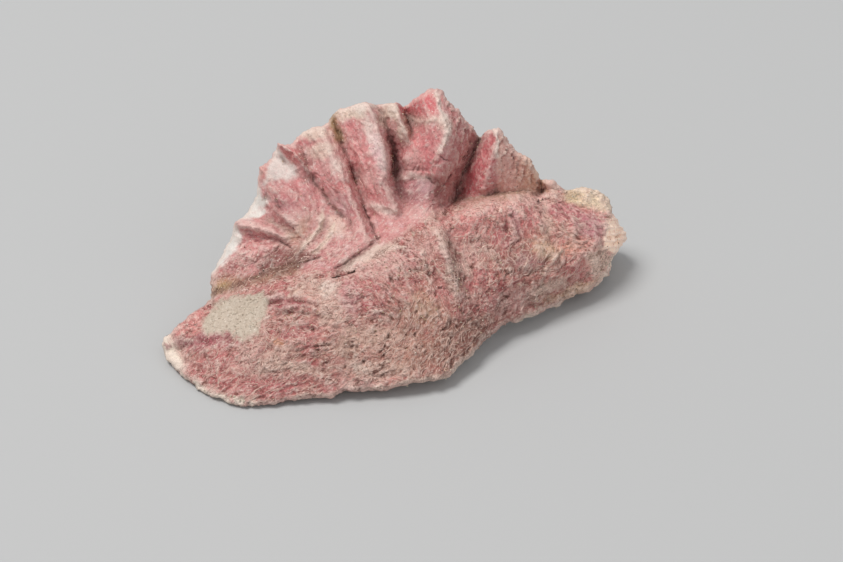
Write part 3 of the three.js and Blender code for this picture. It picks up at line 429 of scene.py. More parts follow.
def beside(x, y, line, left, right):
    """1 on a line on the face, falling away over one width on its left hand and another on its right."""
    d = apart(x, y, line)
    return np.exp(-np.abs(d) / np.where(d > 0, left, right))


def cut(q, h):
    x, y = face_xy(q[:, 0], q[:, 1], h)
    q3 = np.c_[q, np.zeros(len(q))]
    x, y = x + 2.0 * fbm(q3 + 3, 1.8, 3), y + 2.0 * fbm(q3 + 23, 1.8, 3)
    uneven = 1 + 0.5 * fbm(q3 + 43, 2.0, 2)
    return sum(rise * uneven * beside(x, y, line, left, right) for line, rise, left, right in CUTS)


gap_in = from_rim(inner_q)
h_out, h_in = h_out + cut(outer_q, h_out), h_in + cut(inner_q, h_in) * ramp(-gap_in, -4.0, 0.0)
h_out = np.maximum(h_out, -(DATUM + outer_q[:, 1] * COS) / SIN + 0.4)
points = np.concatenate([to_world(outer_q[:, 0], outer_q[:, 1], h_out), to_world(inner_q[:, 0], inner_q[:, 1], h_in)])


def vertex_normals(p, f):
    n = np.cross(p[f[:, 1]] - p[f[:, 0]], p[f[:, 2]] - p[f[:, 0]])
    out = np.zeros_like(p)
    for k in range(3):
        for d in range(3):
            out[:, d] += np.bincount(f[:, k], n[:, d], len(p))
    return out / np.maximum(np.linalg.norm(out, axis=1), 1e-12)[:, None]


edges = np.unique(np.sort(np.concatenate([faces[:, [0, 1]], faces[:, [1, 2]], faces[:, [2, 0]]]), 1), axis=0)
degree = np.bincount(edges.ravel(), minlength=len(points)).astype(float)


def spread(x, times):
    """Evens a value out over neighbouring points."""
    for _ in range(times):
        s = np.bincount(edges[:, 0], x[edges[:, 1]], len(x)) + np.bincount(edges[:, 1], x[edges[:, 0]], len(x))
        x = 0.5 * x + 0.5 * s / degree
    return x


normals = vertex_normals(points, faces)
outer = np.zeros(len(points), bool)
outer[:n_outer] = True
all_q = np.concatenate([outer_q, inner_q])
all_h = np.concatenate([h_out, h_in])
fx, fy = face_xy(all_q[:, 0], all_q[:, 1], all_h)
share_all = np.concatenate([np.concatenate([r[2] for r in outer_rings]), np.concatenate([r[2] for r in inner_rings[:-1]])])
rim_gap = np.full(len(points), 99.0)
close = np.where(share_all > 0.6)[0]
rim_gap[close] = from_rim(all_q[close])

# ---- Places on the face ----
warp_x = fx + 6.0 * fbm(points, 3.2, 4, 0.65)
warp_y = fy + 6.0 * fbm(points + 31, 3.2, 4, 0.65)


def spot(x, y, rx, ry=None, turn=0.0, sharp=False):
    """1 at a place on the face, fading out over its radii."""
    ry = ry or rx
    a = math.radians(turn)
    dx, dy = warp_x - x, warp_y - y
    p, q = dx * math.cos(a) + dy * math.sin(a), -dx * math.sin(a) + dy * math.cos(a)
    d = np.sqrt((p / rx) ** 2 + (q / ry) ** 2)
    return ramp(-d, -1.15, -0.85) if sharp else np.exp(-0.5 * d * d)


def area(poly, soft=3.0, plain=False):
    """1 inside an outline on the face, 0 outside it, over a soft edge."""
    x, y = (fx, fy) if plain else (warp_x, warp_y)
    pts = np.array(poly, float)
    best = np.full(len(x), 1e9)
    inside = np.zeros(len(x), bool)
    for (ax, ay), (bx, by) in zip(pts, np.roll(pts, -1, 0)):
        dx, dy = bx - ax, by - ay
        t = np.clip(((x - ax) * dx + (y - ay) * dy) / (dx * dx + dy * dy), 0, 1)
        best = np.minimum(best, (x - ax - t * dx) ** 2 + (y - ay - t * dy) ** 2)
        cross = ((ay > y) != (by > y)) & (x < (bx - ax) * (y - ay) / (by - ay if by != ay else 1e-9) + ax)
        inside ^= cross
    d = np.sqrt(best) * np.where(inside, 1, -1)
    return ramp(d, -soft, soft)


def stroke(line, width, warped=False):
    """1 on a line on the face, fading out over its width."""
    x, y = (warp_x, warp_y) if warped else (fx, fy)
    pts = np.array(line, float)
    best = np.full(len(x), 1e9)
    for (ax, ay), (bx, by) in zip(pts[:-1], pts[1:]):
        dx, dy = bx - ax, by - ay
        t = np.clip(((x - ax) * dx + (y - ay) * dy) / (dx * dx + dy * dy), 0, 1)
        best = np.minimum(best, (x - ax - t * dx) ** 2 + (y - ay - t * dy) ** 2)
    return np.exp(-0.5 * best / width ** 2)

o = outer.astype(float)
FAN = [(150, 40), (720, 40), (720, 150), (562, 186), (545, 193), (500, 200), (455, 207), (437, 211), (400, 236), (357, 266),
       (330, 271), (290, 272), (240, 286), (205, 302), (150, 300)]
fan = area(FAN, 4.0, plain=True) * o
roll = o - fan
sandy = area([(203, 322), (215, 305), (232, 297), (262, 293), (267, 300), (262, 318), (259, 333), (243, 341), (226, 332), (204, 333)], 6.5) * roll
sandy = ramp(sandy + 0.45 * fbm(points + 165, 1.6, 4, 0.75), 0.12, 0.88) * roll
bevel = np.maximum.reduce([
    area([(235, 226), (241, 233), (241, 241), (237, 251), (230, 256), (224, 265), (209, 277), (205, 270), (216, 252), (228, 232)], 2.2),
    area([(252, 183), (258, 185), (263, 194), (268, 202), (264, 208), (268, 213), (259, 217), (246, 219), (234, 221), (236, 214), (247, 200), (250, 190)], 2.6),
    0.85 * area([(275, 148), (281, 152), (288, 160), (296, 168), (297, 176), (288, 181), (279, 179), (270, 181), (262, 186), (266, 174), (271, 160)], 3.2)]) * o
shoulder = area([(562, 192), (572, 184), (598, 184), (616, 200), (612, 214), (600, 210), (584, 208), (568, 202)], 4) * o
tip = area([(606, 222), (612, 216), (634, 222), (634, 246), (612, 254), (602, 248)], 3) * o
flank_h = area([(446, 98), (470, 112), (480, 130), (470, 150), (460, 178), (452, 200), (438, 190), (446, 160), (452, 135)], 3) * o
flank_i = area([(499, 128), (520, 145), (546, 172), (548, 194), (512, 198), (498, 196), (496, 176), (497, 150)], 3) * o
foot = stroke([(212, 292), (240, 283), (270, 276), (295, 268)], 4, True) * o
lip = np.maximum.reduce([1.6 * stroke([(161, 341), (165, 353), (173, 365)], 7.6), 1.3 * stroke([(170, 366), (190, 383), (212, 397), (250, 404)], 3.0, True),
                         0.35 * stroke([(250, 408), (300, 402), (345, 394), (400, 389), (446, 381)], 2.4, True),
                         stroke([(446, 381), (480, 352), (520, 323), (560, 309), (600, 288), (614, 262), (622, 250)], 3.8, True)]) * o * ramp(fbm(points + 160, 2.2, 3) + 0.42, 0, 0.35)

# ---- Grain of the crust: streaks that follow its lie over the face ----
# Which way they run, in degrees above the horizontal of the face.
LIE = [(180, 340, 12), (190, 370, 40), (225, 365, 38), (260, 350, 52), (285, 360, 52), (310, 368, 22), (335, 352, 28), (290, 306, 4), (275, 318, 14),
       (315, 318, -16), (225, 392, 18), (280, 390, 8), (330, 385, 10), (330, 300, 10), (365, 270, -30), (392, 292, -34), (372, 318, 10), (410, 268, -50),
       (360, 340, 22), (400, 345, 52), (430, 365, 60), (380, 372, 18), (440, 330, 62), (420, 310, 75), (443, 250, -68), (456, 285, -65), (465, 225, 55),
       (480, 232, 62), (482, 265, 80), (500, 240, 75), (514, 220, -75), (530, 218, 80), (528, 270, 52), (556, 256, 48), (520, 300, 45), (560, 290, 30),
       (590, 262, 24), (585, 232, -25), (560, 212, -40), (612, 236, 6), (480, 310, 32), (470, 340, 52)]
PLEATS = [(235, 255, 42), (255, 230, -12), (285, 205, -50), (315, 165, -62), (345, 210, -62), (330, 240, 60), (370, 165, -66), (385, 200, -66), (392, 122, -62),
          (425, 120, -84), (424, 160, 80), (414, 192, 20), (455, 150, 75), (488, 165, 80), (515, 170, -50), (280, 258, 25), (360, 255, 38), (400, 225, 40)]
CELL, LEFT, TOP, ACROSS, DOWN = 0.5, 145.0, 75.0, 1000, 690


def laid(x, y, anchors):
    """Direction at places on the face, as twice the angle, eased between the anchors."""
    a = np.array(anchors, float)
    w = 1 / ((x[..., None] - a[:, 0]) ** 2 + (y[..., None] - a[:, 1]) ** 2 + 60) ** 1.5
    return (w * np.cos(np.radians(2 * a[:, 2]))).sum(-1), (w * np.sin(np.radians(2 * a[:, 2]))).sum(-1)


def soften(field, sigma):
    fu, fv = np.fft.fftfreq(field.shape[0]), np.fft.fftfreq(field.shape[1])
    return np.real(np.fft.ifft2(np.fft.fft2(field) * np.exp(-2 * (math.pi * sigma) ** 2 * (fu[:, None] ** 2 + fv[None] ** 2))))


def sampled(grid, x, y):
    """A grid's value at places on the face."""
    a, b = np.clip((x - LEFT) / CELL, 0, ACROSS - 1.001), np.clip((y - TOP) / CELL, 0, DOWN - 1.001)
    i, j = a.astype(int), b.astype(int)
    s, t = a - i, b - j
    return grid[i, j] * (1 - s) * (1 - t) + grid[i + 1, j] * s * (1 - t) + grid[i, j + 1] * (1 - s) * t + grid[i + 1, j + 1] * s * t


coarse_x, coarse_y = np.meshgrid(LEFT + 4 * np.arange(126), TOP + 4 * np.arange(88), indexing="ij")
in_fan = np.array([[1.0 if y < np.interp(x, [150, 205, 240, 290, 330, 357, 400, 437, 455, 545, 562, 720], [300, 302, 286, 272, 271, 266, 236, 211, 207, 193, 186, 150]) else 0.0
                    for y in coarse_y[0]] for x in coarse_x[:, 0]])
c_roll, s_roll = laid(coarse_x, coarse_y, LIE)
c_fan, s_fan = laid(coarse_x, coarse_y, PLEATS)
coarse_lie = 0.5 * np.arctan2(np.where(in_fan > 0, s_fan, s_roll), np.where(in_fan > 0, c_fan, c_roll))
grid_x, grid_y = np.meshgrid(LEFT + CELL * np.arange(ACROSS), TOP + CELL * np.arange(DOWN), indexing="ij")
ci, cj = np.minimum(((grid_x - LEFT) / 4).round().astype(int), 125), np.minimum(((grid_y - TOP) / 4).round().astype(int), 87)
flat3 = np.c_[grid_x.ravel(), grid_y.ravel(), np.zeros(grid_x.size)]
lie_grid = (coarse_lie[ci, cj].ravel() + 1.05 * noise(flat3 / 12) + 0.75 * noise(flat3 / 5.0 + 40)).reshape(grid_x.shape)


def streaks(width, steps, across=0.0):
    """Noise drawn out along the lie, or at an angle across it, about -2 to 2."""
    seed = soften(rng.normal(size=lie_grid.shape), width)
    total = seed.copy()
    for way in (1.0, -1.0):
        x, y = np.meshgrid(np.arange(ACROSS, dtype=float), np.arange(DOWN, dtype=float), indexing="ij")
        dx, dy = np.full_like(x, 0.0), np.full_like(x, 0.0)
        for _ in range(steps):
            i, j = np.clip(x.round().astype(int), 0, ACROSS - 1), np.clip(y.round().astype(int), 0, DOWN - 1)
            a = lie_grid[i, j] + across
            nx, ny = np.cos(a) * way, -np.sin(a) * way
            turn = np.where(nx * dx + ny * dy < 0, -1.0, 1.0)
            dx, dy = nx * turn, ny * turn
            x += dx
            y += dy
            total += seed[np.clip(x.round().astype(int), 0, ACROSS - 1), np.clip(y.round().astype(int), 0, DOWN - 1)]
    return (total - total.mean()) / total.std()


lie = sampled(lie_grid, fx, fy)
WAYS = [math.radians(a) for a in (5, 50, 95, 140)]
toward = np.stack([np.maximum(np.cos(2 * (lie - way)), 0) ** 2 for way in WAYS], 1)  # how far the lie keeps to each of four directions
toward /= np.linalg.norm(toward, axis=1)[:, None]
facing = ramp(normals @ np.array([-COS * math.sin(TURN), -COS * math.cos(TURN), SIN]), 0.10, 0.48)  # drawn on the face, so they fade where it turns steeply away
weave, fibre, cross, string, mid = (sampled(g, fx, fy) * o * facing for g in (streaks(1.1, 5), streaks(0.9, 12), streaks(1.5, 14, 0.9), streaks(1.5, 22), streaks(2.2, 7)))

reach_all = np.linalg.norm(all_q - centre, axis=1) / np.maximum(share_all, 1e-3)
growth = (1 - share_all) * reach_all + 0.7 * fbm(points, 3.0, 3)  # millimetres in from the margin
terrace = (growth / 3.3 + 0.25 * fbm(points + 61, 5.0, 2)) % 1.0
ledge = ramp(terrace, 0.0, 0.85) * ramp(-terrace, -1.0, -0.9)  # each growth sheet thickens towards its free edge, then drops
broken = ramp(fbm(points + 63, 4.0, 3), 0.05, 0.4)  # where such edges show
sheet = fx + 0.22 * (fy - 100) + 6.5 * fbm(points + 60, 2.6, 3)  # sheets seen edge on, down the right flanks of the tall folds
leaf, leaf2 = (sheet / 7.6) % 1.0, (sheet / 3.3 + 0.35) % 1.0
edge_on = np.maximum(flank_h * (0.35 + 0.65 * ramp(-fy, -150, -132)), flank_i * (0.3 + 0.7 * ramp(-(fy - 0.9 * (fx - 500)), -172, -150))) * (0.35 + 0.65 * ramp(fbm(points + 205, 2.2, 2), -0.25, 0.25))

curl = points + 0.5 * np.stack([fbm(points + 5, 1.6, 2), fbm(points + 15, 1.6, 2), fbm(points + 25, 1.6, 2)], 1)
web = ramp(0.17 - np.abs(noise(curl / 1.6)), 0.0, 0.15)
matted = 0.35 + 0.65 * ramp(fbm(points + 75, 4.5, 3), -0.15, 0.3)  # where the strings lie thick
raised = np.maximum.reduce([ramp(string, 0.7, 1.7), 0.9 * ramp(cross, 1.0, 2.0), 0.45 * ramp(weave, 0.5, 1.6), 0.5 * web]) * matted
sunk = ramp(-mid, 0.5, 1.6) * (1 - raised) * matted
pits = ramp(0.7 * fbm(points + 70, 1.25, 3, 0.6) - 0.16 * np.clip(mid, -2, 2), 0.22, 0.56)
pitted = np.clip(np.exp(-0.5 * (((fx - 418) / 42) ** 2 + ((fy - 312) / 34) ** 2)) + 0.6 * np.exp(-0.5 * (((fx - 350) / 26) ** 2 + ((fy - 345) / 16) ** 2))
                 + 0.5 * np.exp(-0.5 * (((fx - 560) / 40) ** 2 + ((fy - 258) / 26) ** 2)) + 0.5 * np.exp(-0.5 * (((fx - 430) / 16) ** 2 + ((fy - 280) / 14) ** 2))
                 + 0.5 * np.exp(-0.5 * (((fx - 306) / 30) ** 2 + ((fy - 345) / 22) ** 2)) + 0.35 * np.exp(-0.5 * (((fx - 440) / 30) ** 2 + ((fy - 352) / 22) ** 2)), 0, 1)

rough = 1 - np.clip(bevel + 0.85 * sandy, 0, 1)
relief = (
    roll * rough * ((0.60 + 0.50 * ramp(fx, 470, 520)) * fbm(points, 5.0, 3) + 0.60 * ramp(fx, 490, 540) * fbm(points + 19, 3.2, 2) + 0.52 * fbm(points + 9, 2.1, 4, 0.70) + 0.20 * raised + 0.03 * np.clip(fibre, -2, 2) - 0.20 * sunk - (0.12 + 0.34 * pitted) * pits)
    + fan * rough * (0.36 * fbm(points + 3, 3.2, 4, 0.62) + 0.26 * fbm(points + 9, 1.3, 4, 0.72) + 0.06 * raised + 0.06 * np.clip(fibre, -2, 2) + 0.16 * (ledge - 0.4) * broken - 0.10 * pits)
    + edge_on * rough * (0.62 * (leaf - 0.5) + 0.2 * (leaf2 - 0.5))
    + sandy * (0.16 * fbm(points + 12, 1.0, 3, 0.7) + 0.10)
    + bevel * (0.14 * fbm(points + 2, 2.5, 3) + 0.05 * fbm(points + 33, 0.8, 2))
    + shoulder * (0.14 * fbm(points + 90, 1.1, 3, 0.7) + 0.15)
)
CRACKS = [([(333, 276.5), (340, 274.4), (347, 272), (354, 270)], 1.0, -0.9), ([(281, 242), (285, 244.5), (290, 247)], 1.0, -0.3), ([(303, 262), (309, 260), (318, 257)], 0.9, -0.4)]
for line, width, depth in CRACKS + [
    ([(274, 315), (288, 312.5), (304, 313), (322, 317)], 1.8, -0.36),
    ([(266, 304), (282, 300), (300, 301), (318, 306)], 1.5, -0.35),
    ([(290, 359), (304, 356), (318, 358)], 1.6, -0.32),
    ([(296, 352), (310, 347), (330, 345)], 1.3, -0.35),
    ([(310, 330), (326, 326), (340, 328)], 1.4, -0.30),
    ([(166, 351), (190, 344), (212, 339), (232, 336)], 2.4, -0.45),
    ([(512, 216), (518, 226), (521, 240)], 1.7, -0.60), ([(506, 222), (509, 232)], 1.3, -0.45),
    ([(552, 243), (561, 255), (559, 262)], 1.6, -0.45), ([(560, 236), (568, 240), (573, 247)], 1.4, -0.40),
    ([(612, 228), (626, 227)], 1.0, 0.30), ([(609, 235), (628, 232)], 0.9, 0.35), ([(607, 241), (627, 238)], 0.9, 0.35), ([(605, 247), (622, 245)], 0.9, 0.30),
    ([(610, 231.5), (626, 229.5)], 0.8, -0.30), ([(608, 238), (626, 235.5)], 0.8, -0.30), ([(606, 244), (622, 242)], 0.8, -0.30),
    ([(546, 270), (555, 258), (562, 250)], 1.0, 0.35), ([(505, 247), (514, 241), (523, 236)], 0.9, 0.25),
    ([(448, 240), (455, 262), (461, 288)], 1.5, -0.20),
    ([(452, 207), (474, 201), (505, 196), (530, 194)], 3.4, 0.9),
    ([(399, 303), (403, 312), (400, 322)], 1.6, -0.40), ([(435, 270), (437, 280)], 1.4, -0.6), ([(416, 270), (424, 271)], 1.4, -0.5),
    ([(440, 308), (443, 320)], 1.6, -0.6), ([(346, 348), (350, 360)], 2.4, -0.6), ([(383, 306), (387, 311)], 1.8, -0.5), ([(420, 282), (424, 290)], 1.3, -0.35),
    ([(404, 334), (412, 338)], 1.5, -0.4), ([(370, 376), (384, 378), (398, 375)], 1.3, -0.4), ([(352, 292), (352, 312)], 1.6, -0.35),
]:
    relief = relief + depth * stroke(line, width) * o
for x, y, r, rise in ((517, 231, 3.4, 0.5), (501, 225, 2.2, 0.5), (505, 224, 1.8, 0.4), (551, 186, 4.5, 0.45), (280, 342, 2.0, 0.3), (430, 303, 4, 0.35), (330, 392, 5, 0.4)):
    relief = relief + rise * np.exp(-0.5 * ((fx - x) ** 2 + (fy - y) ** 2) / r ** 2) * o
# Soft wrinkles of the crust on the left lobe.
for line, width, rise in (
    ([(268, 299), (285, 295), (305, 297), (325, 305)], 2.6, 0.40), ([(272, 308.5), (290, 306), (306, 307), (324, 311)], 2.2, 0.40), ([(272, 325), (290, 321), (312, 323), (332, 331)], 2.6, 0.38),
    ([(238, 372), (252, 358), (262, 344), (270, 332)], 2.0, 0.34), ([(256, 378), (268, 362), (279, 346)], 2.0, 0.34), ([(274, 372), (285, 358), (294, 343)], 2.0, 0.34),
    ([(200, 353), (222, 348), (243, 341)], 2.2, 0.34), ([(196, 364), (216, 362), (236, 352)], 2.0, 0.30), ([(290, 366), (306, 363), (322, 366)], 2.2, 0.36), ([(300, 339), (316, 336), (334, 338)], 2.2, 0.34),
):
    relief = relief + rise * stroke(line, width, True) * o * np.clip(0.8 + 0.9 * fbm(points + 245, 2.4, 2), 0, 1.5)
inner = 1 - o
lamella = (growth / 2.1 + 0.35 * fbm(points + 215, 4.0, 2)) % 1.0  # growth lines inside, plain near the margin
band = inner * ramp(-rim_gap, -13, -3)
scar = ramp(spot(404, 204, 34, 20, -20) - 0.8 * spot(394, 186, 26, 12, -20) + 0.05 * fbm(points + 24, 2.0, 2), 0.30, 0.42) * inner  # where the muscle held
relief = relief + inner * (0.35 * fbm(points + 21, 7.0, 3) + 0.07 * fbm(points + 22, 1.2, 3, 0.7)) + 0.20 * band * (lamella - 0.5) - 0.22 * scar
relief = relief * np.where(outer, 0.7 + 0.3 * ramp(rim_gap, 0.0, 0.6), ramp(rim_gap, 0.0, 2.5))
points = points + normals * relief[:, None]
points[:, 2] = np.maximum(points[:, 2], 0.0)
normals = vertex_normals(points, faces)


def hollow(times):
    """How far the surface lies below the mean of its surroundings: above 0 in hollows, below 0 on crests."""
    mean = np.stack([spread(points[:, d], times) for d in range(3)], 1)
    return ((mean - points) * normals).sum(1)


cav_mid = hollow(26)

# ---- Colour by place ----


def lin(*c):
    c = np.array(c, float) / 255
    return np.where(c <= 0.04045, c / 12.92, ((c + 0.055) / 1.055) ** 2.4)


tint = np.zeros((len(points), 3))


def lay(colour, amount):
    a = np.clip(amount, 0, 1)[:, None]
    tint[:] = tint * (1 - a) + lin(*colour) * a


ROSE, DEEP, PINK, BLUSH, CREAM, CHALK = (186, 104, 107), (170, 92, 100), (201, 139, 137), (216, 173, 167), (226, 205, 188), (234, 222, 210)
CORAL, PLUM, LILAC, TAN, STRAW, UMBER = (206, 122, 124), (160, 104, 114), (190, 142, 146), (204, 144, 112), (222, 202, 164), (126, 88, 76)
n_wide, n_mid, n_small = fbm(points + 101, 8.0, 3), fbm(points + 111, 3.0, 4, 0.65), fbm(points + 121, 1.2, 3, 0.7)
lay(PINK, np.ones(len(points)))
lay((186, 124, 117), roll)
lay(ROSE, (0.80 * roll + 0.35 * fan) * ramp(n_mid + 0.7 * n_wide, 0.04, 0.36))
lay(BLUSH, (0.70 * roll + 0.65 * fan) * ramp(-n_mid + 0.4 * n_small, 0.0, 0.50))
lay((214, 194, 176), 0.65 * roll * ramp(fbm(points + 145, 2.6, 4, 0.65), 0.14, 0.42))
lay((122, 80, 66), 0.62 * roll * ramp(fbm(points + 155, 1.9, 4, 0.7), 0.16, 0.42))
lay((214, 182, 182), 0.40 * fan * ramp(fbm(points + 141, 2.4, 3), 0.05, 0.45))

n_patch = fbm(points + 131, 1.6, 3, 0.7)
# Patches: colour, strength, place, radii, turn.
PATCHES = [
    # left lobe of the roll
    (PLUM, 0.55, 200, 341, 34, 6, -8), (DEEP, 0.60, 215, 343, 20, 6, -6), ((214, 140, 136), 0.6, 190, 322, 14, 8, -40), (ROSE, 0.50, 215, 366, 26, 10, -20),
    (ROSE, 0.55, 255, 388, 40, 9, 0), (DEEP, 0.60, 284, 303, 22, 6, 4), (ROSE, 0.50, 302, 335, 18, 9, 0), ((168, 98, 96), 0.55, 326, 356, 15, 8, 0),
    (CREAM, 0.28, 276, 360, 18, 10, -45), (BLUSH, 0.35, 245, 355, 18, 8, -40), (CREAM, 0.35, 330, 308, 14, 14, 0), (TAN, 0.70, 279, 342, 4, 3, 0), (CREAM, 0.5, 300, 368, 16, 4, 10),
    (CHALK, 0.55, 328, 290, 8, 6, 0), (ROSE, 0.45, 282, 285, 14, 5, 0), (ROSE, 0.55, 250, 285, 7, 4, 0), (CREAM, 0.30, 306, 290, 12, 8, 0), (BLUSH, 0.5, 225, 292, 14, 5, -25),
    # middle of the roll
    (BLUSH, 0.50, 395, 262, 34, 10, -20), (ROSE, 0.55, 372, 304, 11, 12, 0), (LILAC, 0.45, 350, 296, 8, 14, 0), (STRAW, 0.25, 424, 308, 13, 14, 0), (CORAL, 0.50, 440, 296, 9, 7, 0),
    ((112, 72, 68), 0.55, 347, 353, 7, 8, 0), (CREAM, 0.45, 362, 340, 30, 8, -15), ((184, 124, 108), 0.45, 420, 356, 26, 14, 0), (CREAM, 0.40, 380, 368, 30, 7, 0),
    (CHALK, 0.6, 358, 368, 9, 4, 25), (CREAM, 0.55, 425, 380, 22, 3, -8), (BLUSH, 0.4, 355, 383, 20, 5, 0), (ROSE, 0.4, 365, 285, 12, 8, 0), (CORAL, 0.35, 412, 258, 8, 6, 0), (UMBER, 0.35, 405, 318, 12, 12, 0),
    ((182, 140, 124), 0.35, 370, 350, 40, 22, 0), ((178, 136, 118), 0.35, 425, 330, 26, 26, 0),
    # right of the rib
    (CORAL, 0.40, 462, 226, 22, 12, 0), (BLUSH, 0.45, 470, 258, 10, 14, 20), (CORAL, 0.50, 480, 280, 13, 9, 0), (ROSE, 0.50, 482, 307, 20, 6, -20), (DEEP, 0.55, 507, 234, 8, 13, 0),
    (LILAC, 0.60, 515, 220, 3.5, 14, -15), (ROSE, 0.60, 532, 216, 9, 11, 0), (CREAM, 0.45, 547, 220, 4, 16, -8), ((176, 104, 112), 0.60, 566, 211, 14, 8, 10), (PLUM, 0.60, 592, 226, 15, 10, 10),
    ((208, 146, 126), 0.50, 569, 248, 13, 6, -20), ((170, 128, 132), 0.50, 525, 262, 12, 8, 0), (STRAW, 0.40, 546, 249, 10, 8, 0), (ROSE, 0.50, 576, 272, 13, 8, 0), (CREAM, 0.60, 598, 262, 9, 12, 20),
    # The dark brown patch at 458, 344 is painted shade where the bottom right of the roll faces down.
    (BLUSH, 0.45, 530, 197, 34, 4, -2), (CREAM, 0.45, 548, 288, 18, 5, -25), (STRAW, 0.40, 572, 292, 22, 4, -25), (BLUSH, 0.4, 515, 300, 16, 8, -20), (ROSE, 0.3, 455, 345, 14, 8, -40), ((150, 110, 98), 0.55, 458, 344, 30, 15, -40),
    # the fan, from the left
    (ROSE, 0.45, 240, 264, 26, 8, -32), (ROSE, 0.55, 254, 238, 14, 4, 0), (DEEP, 0.45, 285, 202, 9, 6, 20), (CORAL, 0.40, 296, 190, 12, 9, 0), (BLUSH, 0.5, 300, 218, 10, 7, 0),
    ((206, 108, 104), 0.6, 264, 172, 5, 9, -35), ((202, 110, 108), 0.6, 293, 155, 8, 7, 30), (CREAM, 0.75, 313, 133, 14, 6, 0), (CREAM, 0.65, 322, 150, 12, 6, -15), (CORAL, 0.55, 303, 141, 6, 4, 30),
    (CHALK, 0.5, 336, 165, 7, 7, 0), ((198, 104, 104), 0.55, 340, 187, 8, 4, -10), (CORAL, 0.35, 325, 178, 9, 9, 0), (CREAM, 0.5, 336, 225, 8, 9, 0), (LILAC, 0.4, 345, 205, 7, 10, -20),
    (CREAM, 0.85, 352, 113, 13, 6, 0), (CHALK, 0.7, 362, 107, 8, 4, 0), (CORAL, 0.50, 354, 126, 8, 5, 0), (CHALK, 0.50, 370, 130, 4, 13, -20), ((216, 192, 192), 0.60, 379, 152, 6, 17, -14),
    (CORAL, 0.30, 359, 156, 10, 12, 0), (CORAL, 0.45, 371, 190, 8, 10, -20), (CHALK, 0.55, 384, 210, 13, 3, 12), (BLUSH, 0.5, 366, 178, 8, 6, 0), (ROSE, 0.45, 352, 200, 5, 12, -20),
    (CREAM, 0.60, 387, 117, 8, 11, -20), (CREAM, 0.85, 392, 112, 5, 8, -20), (CREAM, 0.85, 404, 134, 6, 9, -25), (CORAL, 0.5, 392, 124, 4, 5, 0), (CORAL, 0.45, 398, 152, 6, 9, 0),
    ((208, 98, 104), 0.85, 424, 104, 14, 11, 0), ((208, 120, 122), 0.60, 424, 148, 16, 20, 0), (CORAL, 0.55, 432, 165, 12, 10, 0), (BLUSH, 0.4, 415, 160, 5, 10, 0),
    # The dark red patch at 441, 190 is painted shadow beside the lower part of fold H.
    ((170, 118, 122), 0.65, 414, 190, 17, 10, 0), ((204, 166, 168), 0.45, 425, 185, 6, 6, 0), (CORAL, 0.4, 405, 182, 7, 5, 0), (BLUSH, 0.5, 420, 214, 12, 6, 0), ((150, 84, 82), 0.55, 441, 190, 7, 12, 10),
    ((218, 176, 160), 0.75, 551, 186, 6, 6, 0),
]
for colour, amount, x, y, rx, ry, turn in PATCHES:
    lay(colour, (1.05 + 0.2 * roll) * amount * ramp(spot(x, y, rx, ry, turn) + (0.20 * fan + 0.34 * roll) * n_patch, 0.14, 0.80) * o)
lay((190, 70, 80), 0.95 * area([(394, 99), (403, 101), (411, 111), (409, 124), (402, 120), (397, 110)], 2) * o)
lay((190, 80, 88), 0.75 * area([(480, 150), (492, 133), (497, 142), (495, 165), (490, 186), (476, 197), (460, 198), (464, 182)], 3) * o)
lay((180, 108, 106), 0.6 * flank_h)
lay((216, 168, 154), 0.75 * flank_i)
lay((210, 176, 144), 0.75 * flank_i * ramp(fx, 510, 536))
lay((176, 112, 92), 0.55 * flank_i * ramp(fx, 506, 518) * ramp(-(fy - 0.9 * (fx - 500)), -166, -150) * ramp(n_small, -0.1, 0.3))
# Darker at the foot of each sheet, painted shade where its step falls, and paler towards its raised edge, painted
# light.
lay((146, 78, 76), 0.60 * edge_on * ramp(-leaf, -0.42, -0.10))
lay((226, 196, 178), 0.55 * edge_on * ramp(leaf, 0.62, 0.95))
lay((188, 112, 106), 0.35 * flank_i * ramp(-leaf2, -0.5, -0.15))
for line, width, colour, amount in (
    ([(405, 118), (420, 121), (436, 119), (447, 126)], 3.8, CREAM, 0.60), ([(437, 94), (439, 106), (446, 122)], 1.8, CHALK, 0.75), ([(447, 128), (445, 140), (441, 151)], 2.2, CHALK, 0.65),
    ([(496, 130), (497, 142), (496, 156)], 2.0, CHALK, 0.70), ([(397, 179), (406, 177), (416, 176), (429, 177)], 2.2, CHALK, 0.45), ([(322, 217), (318, 231), (306, 246), (291, 256)], 2.4, CREAM, 0.95),
    ([(334, 226), (326, 240), (314, 252)], 2.0, CREAM, 0.85), ([(434, 214), (442, 240), (452, 270), (461, 300)], 3.6, (206, 184, 170), 0.38), ([(270, 221), (282, 228), (292, 236)], 2.0, CREAM, 0.5),
    ([(240, 222), (256, 224), (272, 229)], 1.6, BLUSH, 0.6), ([(360, 266), (376, 280), (392, 296)], 1.2, BLUSH, 0.6), ([(545, 270), (555, 258), (562, 250)], 1.4, CREAM, 0.7),
):
    lay(colour, amount * stroke(line, width, True) * o)
lay((218, 198, 184), 0.80 * area([(338, 272), (346, 262), (360, 254), (378, 244), (396, 241), (398, 248), (384, 256), (366, 263), (352, 268)], 4) * o)
lay((222, 214, 207), bevel * (1 - 0.25 * ramp(n_small, 0.05, 0.4)))
# Paler along the crest of the roll below folds H and I: painted light on the crest.
lay(BLUSH, 0.45 * stroke([(470, 211), (505, 203), (545, 200)], 6, True) * o)
lay((190, 174, 157), 0.92 * sandy)
lay((172, 152, 132), 0.50 * sandy * ramp(fbm(points + 166, 1.3, 3, 0.7), 0.10, 0.42))
lay((218, 206, 194), 0.50 * sandy * ramp(-fbm(points + 176, 1.6, 3, 0.7), 0.08, 0.40))
lay((228, 212, 184), 0.94 * shoulder * (0.9 + 0.4 * n_small))
lay((250, 226, 206), 0.95 * tip)
